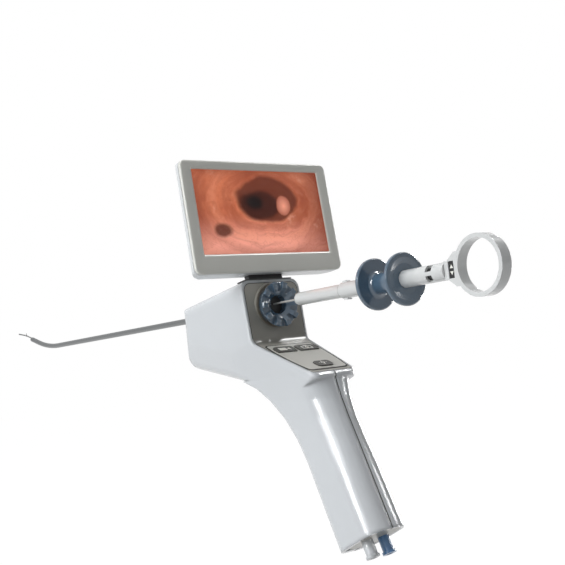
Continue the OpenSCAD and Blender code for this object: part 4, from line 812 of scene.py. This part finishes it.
def floor():
    mesh = bpy.data.meshes.new("floor")
    h = FLOOR_HALF
    corners = [(x, y, FLOOR_Z) for x, y in ((-h, -h), (h, -h), (h, h), (-h, h))]
    mesh.from_pydata(corners, [], [(0, 1, 2, 3)])
    piece = bpy.data.objects.new("floor", mesh)
    bpy.context.scene.collection.objects.link(piece)
    material = bpy.data.materials.new("floor_white")
    material.use_nodes = True
    tree = material.node_tree
    tree.nodes.clear()
    g = Graph(tree)
    out = g.add("OutputMaterial")
    diffuse = g.add("BsdfDiffuse")
    diffuse.inputs["Color"].default_value = (0.5, 0.5, 0.5, 1)
    glow = g.add("Emission")
    glow.inputs["Color"].default_value = (1, 1, 1, 1)
    glow.inputs["Strength"].default_value = 1.13
    rays = g.add("LightPath")
    seen = g.math("MAXIMUM", rays.outputs["Is Camera Ray"], rays.outputs["Is Glossy Ray"])
    seen = g.math("MAXIMUM", seen, rays.outputs["Is Transmission Ray"])
    mix = g.add("MixShader")
    g.put(mix.inputs[0], g.math("MULTIPLY", seen, 0.86))
    g.put(mix.inputs[1], diffuse.outputs[0])
    g.put(mix.inputs[2], glow.outputs[0])
    g.put(out.inputs[0], mix.outputs[0])
    mesh.materials.append(material)


floor()


def world():
    made = bpy.data.worlds.new("studio")
    made.use_nodes = True
    bpy.context.scene.world = made
    tree = made.node_tree
    tree.nodes.clear()
    g = Graph(tree)
    out = g.add("OutputWorld")
    split = g.add("SeparateXYZ")
    coords = g.add("TexCoord")
    g.put(split.inputs[0], coords.outputs["Generated"])
    level = g.math("MULTIPLY", split.outputs["Y"], 0.25)
    level = g.math("ADD", level, g.math("MULTIPLY", split.outputs["X"], -0.27))
    level = g.math("ADD", level, g.math("MULTIPLY", g.math("MAXIMUM", split.outputs["Z"], 0), 0.25))
    level = g.math("MAXIMUM", g.math("ADD", level, 0.255), 0.04)
    soft = g.add("Background")
    soft.inputs["Color"].default_value = (0.97, 0.985, 1, 1)
    g.put(soft.inputs["Strength"], level)
    white = g.add("Background")
    white.inputs["Color"].default_value = (1, 1, 1, 1)
    rays = g.add("LightPath")
    seen = g.math("MAXIMUM", rays.outputs["Is Camera Ray"], rays.outputs["Is Transmission Ray"])
    seen = g.math("MAXIMUM", seen, g.math("MULTIPLY", rays.outputs["Is Glossy Ray"], 0.6))
    mix = g.add("MixShader")
    g.put(mix.inputs[0], seen)
    g.put(mix.inputs[1], soft.outputs[0])
    g.put(mix.inputs[2], white.outputs[0])
    g.put(out.inputs[0], mix.outputs[0])


world()


def lamp(name, place, target, size, power, colour=(1, 1, 1), shine=False):
    """A rectangular lamp; a shine lamp is a narrow strip that only polished surfaces show."""
    data = bpy.data.lights.new(name, "AREA")
    data.shape = "RECTANGLE"
    data.size, data.size_y = size
    data.energy = power
    data.color = colour
    piece = bpy.data.objects.new(name, data)
    piece.location = place
    way = Vector(place) - Vector(target)
    piece.rotation_euler = way.to_track_quat("Z", "Y").to_euler()
    piece.visible_diffuse = not shine
    bpy.context.scene.collection.objects.link(piece)


GRIP = (0, -0.16, -0.07)
lamp("key", (-1.35, -0.05, 0.55), (0, -0.1, 0), (1.1, 0.8), 11.2, (0.96, 0.985, 1))
lamp("top", (-0.1, 0.1, 1.3), (0, -0.1, 0), (0.9, 0.9), 3.5)
lamp("left_strip", (-1.02, -0.17, 0.4), GRIP, (0.07, 0.9), 9.0, shine=True)
lamp("right_strip", (1.1, 0.34, 0.1), GRIP, (0.16, 1.0), 8.0, shine=True)
lamp("back_strip", (1.02, -0.64, 0.02), GRIP, (0.07, 0.8), 5.0, shine=True)
lamp("rim", (0.9, -0.45, 1.15), (0, -0.13, -0.03), (0.34, 0.12), 16.0, shine=True)
